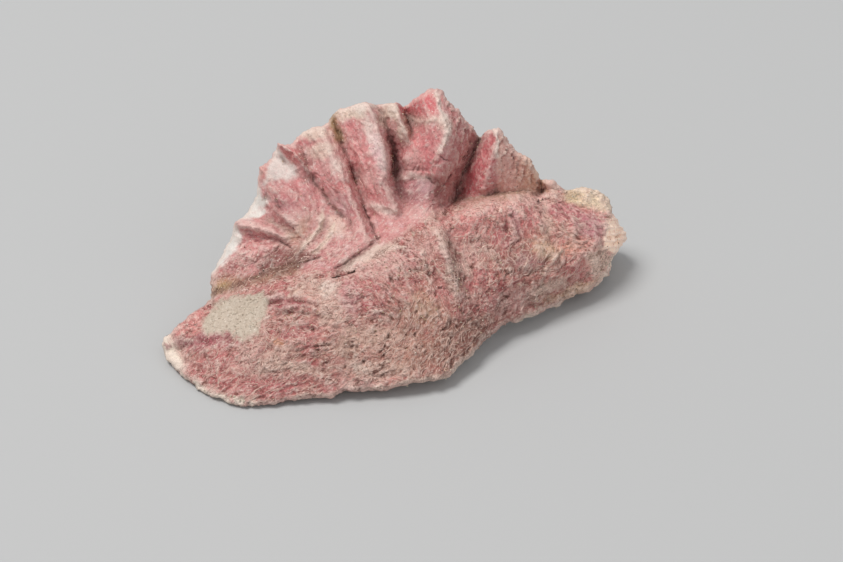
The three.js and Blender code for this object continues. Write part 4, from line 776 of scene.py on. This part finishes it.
# Painted shadow: dark purple-brown in the groove under fold B.
lay((140, 82, 78), 0.85 * area([(256, 262), (274, 250), (300, 247), (312, 254), (300, 264), (282, 272), (260, 275)], 6) * o)
lay((238, 226, 210), lip)
# Pale raised threads over darker gaps, on the roll above all.
stringy = np.clip((roll + 0.6 * fan * ramp(fy, 222, 250) * ramp(-fx, -372, -345)) * rough * (1 - 0.7 * tip) * (1 - 0.5 * shoulder) * (1 - 0.8 * lip), 0, 1)
lay((172, 98, 102), 0.35 * stringy * ramp(n_small, 0.12, 0.45))
lay((226, 202, 188), (0.60 * stringy + 0.14 * fan * rough) * raised)
lay((226, 200, 192), (0.20 * stringy + 0.18 * fan * rough) * ramp(fibre, 0.3, 1.6))
lay((176, 104, 106), 0.16 * fan * rough * ramp(-fibre, 0.3, 1.6))
lay((232, 213, 205), 0.55 * fan * rough * ramp(fbm(points + 185, 1.1, 4, 0.7), 0.10, 0.40))
lay((166, 96, 96), 0.30 * fan * rough * ramp(fbm(points + 195, 0.8, 3, 0.7), 0.12, 0.42))
lay((104, 64, 54), (0.60 * stringy + 0.06 * fan * rough) * sunk)
lay((98, 64, 52), np.clip((0.15 * stringy + pitted) * pits, 0, 1) * 0.58 * o * (1 - sandy))
tint *= 1 - np.array([0.0, 0.035, 0.045]) * (roll * (1 - sandy))[:, None]
# Darker and browner at the bottom right of the roll, painted shade where it faces down, and on the right part of the
# roll.
tint *= 1 - np.array([0.04, 0.09, 0.12]) * (roll * (spot(455, 345, 30, 18) + spot(522, 262, 30, 26)))[:, None]
# Painted light on the right end, the tip, the crest of the roll below folds H and I, the right flank of fold I and the
# slope beside the D/E crease; painted shade at the bottom right of the roll and beside the rib; the other spots even
# out the tone.
tint *= 1 + (0.20 * ramp(fx, 545, 600) * roll + 0.32 * tip + 0.20 * spot(510, 212, 48, 16, 6) + 0.14 * flank_i + 0.18 * spot(582, 254, 20, 12)
             + 0.26 * fan * spot(362, 160, 13, 28, -20) + 0.12 * fan * spot(260, 243, 22, 13) + 0.11 * roll * spot(495, 220, 28, 13) - 0.18 * fan * spot(364, 116, 12, 10)
             - 0.10 * roll * spot(455, 345, 30, 18) - 0.15 * roll * spot(450, 270, 7, 24) - 0.07 * fan * spot(295, 205, 24, 22) - 0.10 * roll * spot(285, 365, 34, 24) - 0.10 * roll * spot(522, 264, 28, 26) - 0.10 * roll * spot(500, 320, 40, 20)
             - 0.12 * fan * spot(414, 192, 18, 14))[:, None]
# Inside: porcelain, pinkish towards the margin.
lay((234, 228, 218), inner)
lay((222, 190, 184), 0.8 * inner * ramp(-rim_gap, -9, -1) * (0.6 + 0.5 * n_mid))
lay((214, 202, 190), 0.5 * inner * ramp(n_wide, 0.0, 0.5))
lay((228, 219, 192), 0.55 * inner * ramp(fbm(points + 225, 6.0, 3), 0.05, 0.40))
lay((206, 202, 204), 0.45 * inner * ramp(fbm(points + 235, 2.8, 4, 0.6), 0.08, 0.42))
lay((196, 160, 148), 0.55 * band * ramp(lamella, 0.70, 0.98) * (0.6 + 0.8 * n_mid))
lay((178, 150, 146), 0.60 * scar * (0.8 + 0.5 * n_small))
lay((224, 200, 190), 0.5 * inner * ramp(-rim_gap, -5, -1) * ramp(n_small, 0.0, 0.35))
red_rim = np.clip(spot(424, 100, 25, 25) + flank_h + flank_i + spot(264, 168, 8, 8) + spot(292, 150, 8, 7) + spot(402, 106, 8, 8), 0, 1)
lay((226, 212, 198), np.where(outer, 0.75 * fan * ramp(n_small, -0.05, 0.3), 0.9) * ramp(-rim_gap, -1.0, -0.3) * (1 - red_rim))

# Painted shade, with some dirt, in the grooves and hollows, and the crests are worn pale.
shade_lines = 0.0
for line, width, amount in (
    ([(332, 116), (336, 126), (341, 142)], 2.6, 0.8), ([(341, 142), (347, 158), (354, 182)], 1.9, 0.6), ([(354, 182), (362, 204), (370, 222), (377, 238)], 1.7, 0.5),
    ([(376, 106), (384, 122), (390, 138)], 1.6, 0.3), ([(390, 138), (394, 156), (393, 176)], 2.2, 0.7), ([(404, 118), (408, 125), (411, 134)], 2.2, 0.7),
    ([(478, 140), (470, 162), (460, 182), (456, 206)], 3.0, 0.70), ([(440, 213), (462, 205), (490, 198), (520, 194), (545, 192)], 2.4, 0.22),
    ([(308, 172), (318, 188), (328, 200), (342, 216)], 1.8, 0.7), ([(300, 150), (306, 166), (309, 176)], 1.6, 0.5), ([(346, 216), (352, 232)], 1.8, 0.5),
    ([(336, 271), (350, 262), (370, 247), (378, 236)], 2.2, 0.75), ([(449, 240), (456, 262), (462, 290)], 1.8, 0.5), ([(262, 272), (280, 270), (300, 262), (316, 256)], 3.0, 0.8),
    ([(214, 292), (236, 285), (258, 276)], 2.6, 0.8), ([(264, 196), (265, 200)], 1.6, 0.9), ([(275, 198), (280, 206)], 1.8, 0.6), ([(432, 178), (440, 184), (436, 196)], 2.6, 0.6),
    ([(282, 158), (286, 164)], 1.4, 0.8), ([(274, 315), (288, 312.5), (304, 313), (322, 317)], 1.8, 0.5), ([(290, 359), (304, 356), (318, 358)], 1.6, 0.45),
    ([(266, 304), (282, 300), (300, 301), (318, 306)], 1.3, 0.4), ([(166, 351), (190, 344), (212, 339), (232, 336)], 1.8, 0.35), ([(296, 352), (310, 347), (330, 345)], 1.3, 0.5),
):
    shade_lines = np.maximum(shade_lines, amount * stroke(line, width, True))
# Hair lines: cracks, and painted shade along the bottoms of the creases and under the step at the foot of fold E, kept
# as a signed distance so that they stay thin.
crease_near, crease_side, crease_dark = np.full(len(points), 8.0), np.full(len(points), 8.0), np.zeros(len(points))
wob_x, wob_y = fx + 1.2 * fbm(points + 170, 1.2, 2), fy + 1.2 * fbm(points + 180, 1.2, 2)
for line, dark in [
    ([(332.5, 276.8), (340, 274.4), (347, 272), (354, 269.6)], 1.0), ([(281, 242), (285, 244.5), (291, 247.5)], 0.45), ([(300, 262.5), (309, 260), (320, 256)], 0.5),
    ([(541.5, 181), (541.5, 187), (541, 193)], 0.35), ([(350, 166), (353, 175), (357, 185)], 0.40), ([(362, 202), (366, 213), (372, 227), (378, 239)], 0.30),
    ([(393, 150), (394, 160), (392, 170), (393, 176)], 0.4), ([(403, 111), (408, 119), (411, 128)], 0.35),
    ([(313, 180), (320, 190), (327, 198)], 0.15), ([(457, 184), (456, 194), (456, 203)], 0.35),
    ([(440, 156), (444, 159), (447, 160)], 0.4), ([(428, 178), (433, 183)], 0.4), ([(336, 268), (348, 262), (362, 251), (374, 243)], 0.4), ([(275, 199), (280, 207)], 0.4),
]:
    d = apart(wob_x, wob_y, line)
    nearer = (np.abs(d) < crease_near) & outer
    crease_near[nearer], crease_side[nearer], crease_dark[nearer] = np.abs(d)[nearer], d[nearer], dark
shadowed_groove = area([(258, 264), (274, 251), (300, 247), (312, 254), (300, 264), (282, 272), (262, 275)], 4) * o
# Painted shade in the crease lines, the hollows and the groove under fold B, with dirt along the foot of the fan.
shade_and_grime = np.clip(shade_lines * o * (0.75 + 0.5 * n_small) + 0.50 * ramp(cav_mid, 0.06, 0.32) * o + 0.35 * shadowed_groove + 0.6 * foot * ramp(n_mid + 0.3, 0, 0.5), 0, 1)
shade_and_grime *= 1 - 0.85 * bevel
shade_and_grime = np.maximum(shade_and_grime, 0.8 * (stroke([(281, 157), (283, 160), (285, 163)], 1.3) + stroke([(266, 194), (265, 199)], 1.3)) * o)
worn = np.clip(ramp(-cav_mid, 0.04, 0.26) * o, 0, 1)
olive = np.clip(stroke([(332, 114), (335, 124), (340, 138)], 3.2, True) + 0.8 * spot(222, 284, 9, 5, -30) + 0.5 * spot(572, 197, 7, 5) + 0.35 * foot + 0.4 * spot(300, 232, 5, 10, 30), 0, 1) * o
lay((172, 144, 90), 0.85 * olive)
lay((152, 131, 100), 0.78 * stroke([(456, 205), (474, 201), (500, 197), (520, 195)], 3.6, True) * o * (0.7 + 0.6 * n_small))


def put(mesh, name, kind, values):
    a = mesh.attributes.new(name, kind, "POINT")
    if kind == "FLOAT":
        a.data.foreach_set("value", np.ascontiguousarray(values, np.float32))
    elif kind == "FLOAT_VECTOR":
        a.data.foreach_set("vector", np.ascontiguousarray(values, np.float32).ravel())
    else:
        a.data.foreach_set("color", np.ascontiguousarray(np.c_[values, np.ones(len(values))], np.float32).ravel())


def make_mesh(name, p, f, smooth=True):
    mesh = bpy.data.meshes.new(name)
    mesh.vertices.add(len(p))
    mesh.vertices.foreach_set("co", (np.asarray(p, np.float64) * 0.001).astype(np.float32).ravel())
    mesh.loops.add(len(f) * 3)
    mesh.loops.foreach_set("vertex_index", np.asarray(f, np.int32).ravel())
    mesh.polygons.add(len(f))
    mesh.polygons.foreach_set("loop_start", np.arange(0, len(f) * 3, 3, dtype=np.int32))
    mesh.update(calc_edges=True)
    mesh.polygons.foreach_set("use_smooth", np.full(len(f), smooth))
    ob = bpy.data.objects.new(name, mesh)
    bpy.context.scene.collection.objects.link(ob)
    return ob


# ---- Materials ----
def material(name, rough=0.85):
    m = bpy.data.materials.new(name)
    m.use_nodes = True
    p = m.node_tree.nodes["Principled BSDF"]
    p.inputs["Roughness"].default_value = rough
    return m, m.node_tree, p


def node(tree, kind, **values):
    n = tree.nodes.new(kind)
    for k, v in values.items():
        if k.startswith("in_"):
            key = k[3:]
            n.inputs[int(key) if key.isdigit() else key].default_value = v
        else:
            setattr(n, k, v)
    return n


def attr(tree, name):
    return node(tree, "ShaderNodeAttribute", attribute_name=name)


def ramp_node(tree, source, stops):
    n = tree.nodes.new("ShaderNodeValToRGB")
    tree.links.new(source, n.inputs[0])
    el = n.color_ramp.elements
    while len(el) < len(stops):
        el.new(0.5)
    for e, (pos, c) in zip(el, stops):
        e.position = pos
        e.color = (c, c, c, 1) if not isinstance(c, (tuple, list, np.ndarray)) else (*[float(x) for x in c], 1)
    return n.outputs[0]


def mul(tree, a, b, op="MULTIPLY"):
    n = node(tree, "ShaderNodeMath", operation=op)
    for value, socket in ((a, n.inputs[0]), (b, n.inputs[1])):
        if hasattr(value, "is_linked"):
            tree.links.new(value, socket)
        else:
            socket.default_value = value
    return n.outputs[0]


def noise_node(tree, coord, size, detail=4.0, rough=0.55, distort=0.0):
    n = node(tree, "ShaderNodeTexNoise", in_Scale=1000.0 / size, in_Detail=detail, in_Roughness=rough, in_Distortion=distort)
    tree.links.new(coord, n.inputs["Vector"])
    return n.outputs["Fac"]


def mix_in(tree, factor, a, b, blend="MIX"):
    n = node(tree, "ShaderNodeMix", data_type="RGBA", blend_type=blend)
    for value, socket in zip((factor, a, b), (n.inputs[0], n.inputs[6], n.inputs[7])):
        if hasattr(value, "is_linked"):
            tree.links.new(value, socket)
        elif isinstance(value, (int, float)):
            socket.default_value = value
        else:
            socket.default_value = (*[float(x) for x in value], 1)
    return n.outputs[2]


shell_mat, tree, shader = material("oyster_shell", 0.82)
coord = node(tree, "ShaderNodeTexCoord").outputs["Object"]
shade_and_grime_s, worn_s, thread_s, white_s, sand_s = (attr(tree, k).outputs["Fac"] for k in ("shade_and_grime", "worn", "threads", "porcelain", "sandy"))
coarse, fine, tiny = noise_node(tree, coord, 1.5, 5.0, 0.65, 0.6), noise_node(tree, coord, 0.75, 4.0, 0.65, 0.4), noise_node(tree, coord, 0.32, 2.0, 0.6)
rough_s = mul(tree, 1.0, white_s, "SUBTRACT")
col = attr(tree, "tint").outputs["Color"]
# Chalky bloom in crumbs, and worn crests.
bloom = ramp_node(tree, coarse, [(0.52, 0.0), (0.64, 1.0)])
col = mix_in(tree, mul(tree, bloom, mul(tree, mul(tree, thread_s, 0.18), mul(tree, rough_s, 0.14), "ADD")), col, lin(226, 204, 192))
col = mix_in(tree, mul(tree, worn_s, 0.38), col, lin(228, 206, 195))
# Dark gaps between the crumbs.
gap_amount = mul(tree, mul(tree, thread_s, 0.32), 0.12, "ADD")
gaps = ramp_node(tree, fine, [(0.34, 1.0), (0.45, 0.0)])
col = mix_in(tree, mul(tree, mul(tree, gaps, rough_s), gap_amount), col, lin(118, 76, 70))
# Fine grain.
grain = ramp_node(tree, tiny, [(0.30, 0.66), (0.50, 1.0), (0.72, 1.22)])
col = mix_in(tree, mul(tree, mul(tree, thread_s, 0.5), 0.45, "ADD"), col, mix_in(tree, 1.0, col, grain, "MULTIPLY"))
# Strings of crust over dark hollows: noise drawn out in four directions, blended by the lie.
string = 0.5
for k, way in enumerate(WAYS):
    drawn = node(tree, "ShaderNodeMapping", vector_type="TEXTURE", in_Location=(0.03 * k, 0.05 * k, 0.02 * k), in_Rotation=(0.0, 0.0, -way), in_Scale=(1.9, 1.0, 1.0))
    tree.links.new(attr(tree, "face").outputs["Vector"], drawn.inputs["Vector"])
    share = mul(tree, mul(tree, noise_node(tree, drawn.outputs[0], 0.64, 3.0, 0.62, 1.0), 0.5, "SUBTRACT"), attr(tree, "toward_%d" % k).outputs["Fac"])
    string = mul(tree, string, share, "ADD")
col = mix_in(tree, mul(tree, ramp_node(tree, string, [(0.55, 0.0), (0.63, 1.0)]), mul(tree, mul(tree, thread_s, 0.46), mul(tree, rough_s, 0.16), "ADD")), col, lin(226, 202, 190))
col = mix_in(tree, mul(tree, ramp_node(tree, string, [(0.38, 1.0), (0.47, 0.0)]), mul(tree, mul(tree, thread_s, 0.58), mul(tree, rough_s, 0.12), "ADD")), col, lin(106, 66, 54))
# Painted shade, with some dirt, in the grooves and hollows.
patch = ramp_node(tree, fine, [(0.35, 1.0), (0.68, 0.55)])
col = mix_in(tree, mul(tree, mul(tree, shade_and_grime_s, patch), 0.88), col, lin(92, 62, 54))
# Hair lines: dark cracks, and painted shade at the bottoms of the creases.
across = mul(tree, mul(tree, attr(tree, "crease_side").outputs["Fac"], 1.0, "ABSOLUTE"), mul(tree, mul(tree, fine, 1.6), 0.1, "ADD"))
line_s = mul(tree, ramp_node(tree, across, [(0.35, 1.0), (1.0, 0.0)]), ramp_node(tree, attr(tree, "crease_near").outputs["Fac"], [(0.0, 1.0), (0.999, 1.0), (1.0, 0.0)]))
col = mix_in(tree, mul(tree, line_s, attr(tree, "crease_dark").outputs["Fac"]), col, lin(58, 38, 32))
# Sand: pale, grey and buff grains.
grains = node(tree, "ShaderNodeTexVoronoi", in_Scale=1000.0 / 0.36)
tree.links.new(coord, grains.inputs["Vector"])
grain_tone = ramp_node(tree, grains.outputs["Color"], [(0.0, lin(176, 160, 144)), (0.3, lin(190, 175, 159)), (0.7, lin(199, 185, 169)), (1.0, lin(214, 203, 189))])
col = mix_in(tree, mul(tree, sand_s, 0.7), col, grain_tone)
# Scattered dark and bright specks.
here_and_there = ramp_node(tree, noise_node(tree, coord, 6.0, 3.0), [(0.46, 0.12), (0.58, 1.0)])
specks = node(tree, "ShaderNodeTexVoronoi", in_Scale=1000.0 / 1.7)
tree.links.new(coord, specks.inputs["Vector"])
col = mix_in(tree, mul(tree, mul(tree, ramp_node(tree, specks.outputs["Distance"], [(0.06, 1.0), (0.11, 0.0)]), rough_s), mul(tree, mul(tree, here_and_there, 0.75), mul(tree, 1.0, sand_s, "SUBTRACT"))), col, lin(74, 54, 46))
glints = node(tree, "ShaderNodeTexVoronoi", in_Scale=1000.0 / 1.25)
tree.links.new(coord, glints.inputs["Vector"])
col = mix_in(tree, mul(tree, mul(tree, ramp_node(tree, glints.outputs["Distance"], [(0.07, 1.0), (0.13, 0.0)]), rough_s), 0.65), col, lin(240, 226, 214))
tree.links.new(col, shader.inputs["Base Color"])
rough_out = node(tree, "ShaderNodeMapRange", in_1=0.0, in_2=1.0, in_3=0.9, in_4=0.5)
tree.links.new(white_s, rough_out.inputs[0])
tree.links.new(rough_out.outputs[0], shader.inputs["Roughness"])
bump_h = mul(tree, mul(tree, mul(tree, coarse, 0.6), mul(tree, string, 1.0), "ADD"), mul(tree, mul(tree, fine, 0.6), mul(tree, tiny, 0.4), "ADD"), "ADD")
bump_h = mul(tree, bump_h, mul(tree, mul(tree, thread_s, 0.65), 0.45, "ADD"))
bump = node(tree, "ShaderNodeBump", in_Strength=0.85, in_Distance=0.0004)
tree.links.new(bump_h, bump.inputs["Height"])
tree.links.new(bump.outputs[0], shader.inputs["Normal"])
shader.inputs["Specular IOR Level"].default_value = 0.3

valve = make_mesh("shell_valve", points, faces)
valve.data.materials.append(shell_mat)
put(valve.data, "tint", "FLOAT_COLOR", tint)
put(valve.data, "shade_and_grime", "FLOAT", shade_and_grime)
put(valve.data, "worn", "FLOAT", worn)
put(valve.data, "threads", "FLOAT", stringy * (0.35 + 0.65 * matted))
put(valve.data, "face", "FLOAT_VECTOR", np.c_[fx, fy, all_h / VIEW_SCALE] * (0.001 * VIEW_SCALE))
for k in range(4):
    put(valve.data, "toward_%d" % k, "FLOAT", toward[:, k])
put(valve.data, "porcelain", "FLOAT", np.clip(bevel + inner, 0, 1))
put(valve.data, "sandy", "FLOAT", sandy)
put(valve.data, "crease_side", "FLOAT", crease_side)
put(valve.data, "crease_near", "FLOAT", crease_near / 3.0)
put(valve.data, "crease_dark", "FLOAT", crease_dark)
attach(valve, "root")
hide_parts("valve")

# ---- Threads of crust and grains of sand on the outer face ----
surface = BVHTree.FromPolygons([Vector(p) for p in points.tolist()], faces.tolist())
zero = np.array(0.0)
datum_u, datum_v = to_world(zero + 1, zero, zero) - to_world(zero, zero, zero), to_world(zero, zero + 1, zero) - to_world(zero, zero, zero)
corner = points[faces]
face_area = 0.5 * np.linalg.norm(np.cross(corner[:, 1] - corner[:, 0], corner[:, 2] - corner[:, 0]), axis=1)
point_area = np.bincount(faces.ravel(), np.repeat(face_area / 3, 3), len(points))


def walk(start, heading, steps, stride, wander):
    """Points and normals along a line that keeps to the surface."""
    p, n = Vector(points[start]), Vector(normals[start])
    d = Vector((datum_u * math.cos(heading) + datum_v * math.sin(heading)).tolist())
    line = [(p.copy(), n.copy())]
    for bend in rng.normal(0, wander, steps):
        d = d - n * d.dot(n)
        if d.length < 1e-6:
            break
        d.normalize()
        d = d * math.cos(bend) + n.cross(d) * math.sin(bend)
        hit, hn, _, gap = surface.find_nearest(p + d * stride)
        if hit is None or gap > 0.5 * stride or (hit - p).length < 0.4 * stride:
            break
        p, n = hit, (n * 0.5 + hn * 0.5).normalized()
        line.append((p.copy(), n.copy()))
    return line


def strands(count, density, radius, steps, stride, wander, pale):
    """Thin raised threads as closed three-sided tubes: their points, faces and colours."""
    odds = density * point_area
    p_all, f_all, c_all, base = [], [], [], 0
    for start in rng.choice(len(points), count, p=odds / odds.sum()):
        line = walk(start, lie[start] + rng.normal(0, 0.3) + (math.pi if rng.random() < 0.5 else 0), int(rng.integers(*steps)), stride, wander)
        m = len(line)
        if m < 4:
            continue
        r = radius[0] + (radius[1] - radius[0]) * rng.random() ** 1.8
        shade = np.clip(pale + rng.normal(0, 0.25), 0.05, 0.95)
        tone = (tint[start] * (1 - shade) + lin(222, 194, 180) * shade) * np.clip(rng.normal(1.0, 0.10), 0.7, 1.2)
        verts = [line[0][0] - line[0][1] * 0.06]
        for k in range(1, m - 1):
            p, n = line[k]
            t = (line[k + 1][0] - line[k - 1][0]).normalized()
            side = t.cross(n).normalized()
            w = r * (math.sin(math.pi * k / (m - 1)) ** 0.6) * (0.6 + 0.8 * rng.random())
            verts += [p + n * (0.75 * w), p - side * w - n * (0.4 * w), p + side * w - n * (0.4 * w)]
        verts.append(line[-1][0] - line[-1][1] * 0.06)
        last = len(verts) - 1
        tris = [(0, 1 + (j + 1) % 3, 1 + j) for j in range(3)]
        for k in range(m - 3):
            a, b = 1 + 3 * k, 4 + 3 * k
            for j in range(3):
                q = (j + 1) % 3
                tris += [(a + j, a + q, b + q), (a + j, b + q, b + j)]
        e = last - 3
        tris += [(last, e + j, e + (j + 1) % 3) for j in range(3)]
        p_all.append(np.array([tuple(v) for v in verts]))
        f_all.append(np.array(tris) + base)
        c_all.append(np.tile(tone, (len(verts), 1)))
        base += len(verts)
    return np.concatenate(p_all), np.concatenate(f_all), np.concatenate(c_all)


def joined(sets):
    offset = np.cumsum([0] + [len(s[0]) for s in sets[:-1]])
    p = np.concatenate([s[0] for s in sets])
    p[:, 2] = np.maximum(p[:, 2], 0.0)
    return p, np.concatenate([s[1] + k for s, k in zip(sets, offset)]), np.concatenate([s[2] for s in sets])


strung = np.clip(np.exp(-0.5 * (((fx - 272) / 26) ** 2 + ((fy - 356) / 16) ** 2)) + 0.8 * np.exp(-0.5 * (((fx - 420) / 34) ** 2 + ((fy - 352) / 20) ** 2))
                 + 0.8 * np.exp(-0.5 * (((fx - 478) / 16) ** 2 + ((fy - 258) / 14) ** 2)) + 0.8 * np.exp(-0.5 * (((fx - 555) / 26) ** 2 + ((fy - 262) / 16) ** 2)) + 0.12, 0, 1)
inland = np.where(rim_gap < 0.8, 0.05, 1.0)
thread_p, thread_f, thread_c = joined([strands(1300, stringy * strung * inland, (0.07, 0.16), (6, 14), 0.32, 0.22, 0.72),
                                       strands(700, stringy * matted * inland, (0.05, 0.11), (5, 10), 0.32, 0.30, 0.60),
                                       strands(300, fan * rough * inland, (0.06, 0.11), (4, 8), 0.36, 0.16, 0.45)])
threads = make_mesh("crust_threads", thread_p, thread_f)
put(threads.data, "tint", "FLOAT_COLOR", thread_c)
thread_mat, tree, shader = material("crust", 0.88)
coord = node(tree, "ShaderNodeTexCoord").outputs["Object"]
dull = ramp_node(tree, noise_node(tree, coord, 0.5, 3.0, 0.65), [(0.38, 1.0), (0.56, 0.0)])
col = mix_in(tree, mul(tree, dull, 0.5), attr(tree, "tint").outputs["Color"], lin(146, 104, 96))
tree.links.new(col, shader.inputs["Base Color"])
shader.inputs["Specular IOR Level"].default_value = 0.3
threads.data.materials.append(thread_mat)
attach(threads, "root")

gold = (1 + 5 ** 0.5) / 2
ico = np.array([(-1, gold, 0), (1, gold, 0), (-1, -gold, 0), (1, -gold, 0), (0, -1, gold), (0, 1, gold), (0, -1, -gold), (0, 1, -gold),
                (gold, 0, -1), (gold, 0, 1), (-gold, 0, -1), (-gold, 0, 1)]) / math.hypot(1, gold)
ico_f = np.array([(0, 11, 5), (0, 5, 1), (0, 1, 7), (0, 7, 10), (0, 10, 11), (1, 5, 9), (5, 11, 4), (11, 10, 2), (10, 7, 6), (7, 1, 8),
                  (3, 9, 4), (3, 4, 2), (3, 2, 6), (3, 6, 8), (3, 8, 9), (4, 9, 5), (2, 4, 11), (6, 2, 10), (8, 6, 7), (9, 8, 1)])
SAND = [((198, 184, 166), 0.40), ((206, 194, 177), 0.32), ((186, 170, 152), 0.17), ((218, 208, 194), 0.09), ((160, 140, 122), 0.02)]
DIRT = [((206, 186, 156), 0.36), ((176, 150, 118), 0.26), ((228, 216, 198), 0.16), ((132, 104, 82), 0.14), ((76, 58, 50), 0.08)]


def grains_at(count, density, radius, palette):
    odds = density * point_area
    at = rng.choice(len(points), count, p=odds / odds.sum())
    size = radius[0] + (radius[1] - radius[0]) * rng.random(count) ** 2.0
    turn = np.linalg.qr(rng.normal(size=(count, 3, 3)))[0]
    turn[np.linalg.det(turn) < 0] *= -1
    shape = ico[None] * (0.75 + 0.5 * rng.random((count, 12, 1))) * (0.7 + 0.6 * rng.random((count, 1, 3)))
    p = np.einsum("nij,nkj->nki", turn, shape) * size[:, None, None]
    p += (points[at] + normals[at] * (0.25 * size)[:, None] + rng.normal(0, 0.06, (count, 3)))[:, None]
    f = ico_f[None] + 12 * np.arange(count)[:, None, None]
    tones, share = np.array([lin(*c) for c, _ in palette]), np.array([k for _, k in palette])
    c = tones[rng.choice(len(palette), count, p=share / share.sum())] * rng.normal(1, 0.06, (count, 1))
    return p.reshape(-1, 3), f.reshape(-1, 3), np.repeat(c, 12, 0)


sand_p, sand_f, sand_c = joined([
    grains_at(520, sandy * inland, (0.08, 0.18), SAND), grains_at(300, np.clip(foot + 0.4 * shadowed_groove + 0.6 * shade_lines, 0, 1) * inland * o, (0.06, 0.16), DIRT),
    grains_at(60, shoulder * inland, (0.09, 0.20), SAND), grains_at(700, o * (1 - bevel) * inland, (0.06, 0.14), DIRT), grains_at(110, lip * inland * ramp(fx, 195, 235), (0.09, 0.22), SAND),
    grains_at(160, pitted * roll * inland, (0.08, 0.2), DIRT)])
sand = make_mesh("sand_grains", sand_p, sand_f, smooth=False)
put(sand.data, "tint", "FLOAT_COLOR", sand_c)
sand_mat, tree, shader = material("sand", 0.6)
coord = node(tree, "ShaderNodeTexCoord").outputs["Object"]
cloud = ramp_node(tree, noise_node(tree, coord, 0.25, 2.0), [(0.35, 0.8), (0.65, 1.1)])
tree.links.new(mix_in(tree, 1.0, attr(tree, "tint").outputs["Color"], cloud, "MULTIPLY"), shader.inputs["Base Color"])
sand.data.materials.append(sand_mat)
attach(sand, "root")

# ---- Floor, light and camera ----
floor = bpy.data.meshes.new("floor")
floor.from_pydata([(-3, -3, 0), (3, -3, 0), (3, 3, 0), (-3, 3, 0)], [], [(0, 1, 2, 3)])
floor_ob = bpy.data.objects.new("floor", floor)
bpy.context.scene.collection.objects.link(floor_ob)
floor_mat, floor_tree, floor_shader = material("floor_paper", 0.95)
floor_shader.inputs["Base Color"].default_value = (0.47, 0.473, 0.475, 1)
floor_shader.inputs["Specular IOR Level"].default_value = 0.1
floor.materials.append(floor_mat)


def axis(u, v, h):
    return Vector((to_world(np.array(u), np.array(v), np.array(h)) * 0.001).tolist())


cam_data = bpy.data.cameras.new("camera")
cam = bpy.data.objects.new("camera", cam_data)
bpy.context.scene.collection.objects.link(cam)
cam_data.sensor_width = 36
cam_data.lens = 36 * VIEW_DISTANCE / (VIEW_SCALE * 843)
cam_data.clip_start = 0.01
out_of_face = (axis(0.0, 0.0, 1.0) - axis(0.0, 0.0, 0.0)).normalized()
cam.location = axis(0.0, 0.0, VIEW_DISTANCE)
cam.rotation_mode = "QUATERNION"
cam.rotation_quaternion = (-out_of_face).to_track_quat("-Z", "Y")
bpy.context.scene.camera = cam


def turned(x, y, z):
    """A direction given as seen (x right, y away, z up), in the part's frame."""
    return Vector((x * math.cos(TURN) + y * math.sin(TURN), -x * math.sin(TURN) + y * math.cos(TURN), z))


def area_light(name, at, size, energy, colour=(1, 1, 1)):
    data = bpy.data.lights.new(name, "AREA")
    data.shape = "DISK"
    data.size, data.energy, data.color = size, energy, colour
    ob = bpy.data.objects.new(name, data)
    bpy.context.scene.collection.objects.link(ob)
    ob.location = turned(*at)
    ob.rotation_mode = "QUATERNION"
    ob.rotation_quaternion = (Vector((0, 0, 0.02)) - ob.location).to_track_quat("-Z", "Y")
    return ob


area_light("key", (-0.72, -0.10, 1.92), 0.90, 31.0, (1.0, 0.985, 0.965))
area_light("fill", (1.30, -0.70, 1.40), 1.8, 3.0, (1.0, 0.99, 0.98))
world = bpy.data.worlds.new("studio")
bpy.context.scene.world = world
world.use_nodes = True
world.node_tree.nodes["Background"].inputs[0].default_value = (0.97, 0.985, 1.0, 1)
world.node_tree.nodes["Background"].inputs[1].default_value = 0.52
bpy.context.scene.view_settings.view_transform = "Standard"

bpy.context.view_layer.update()
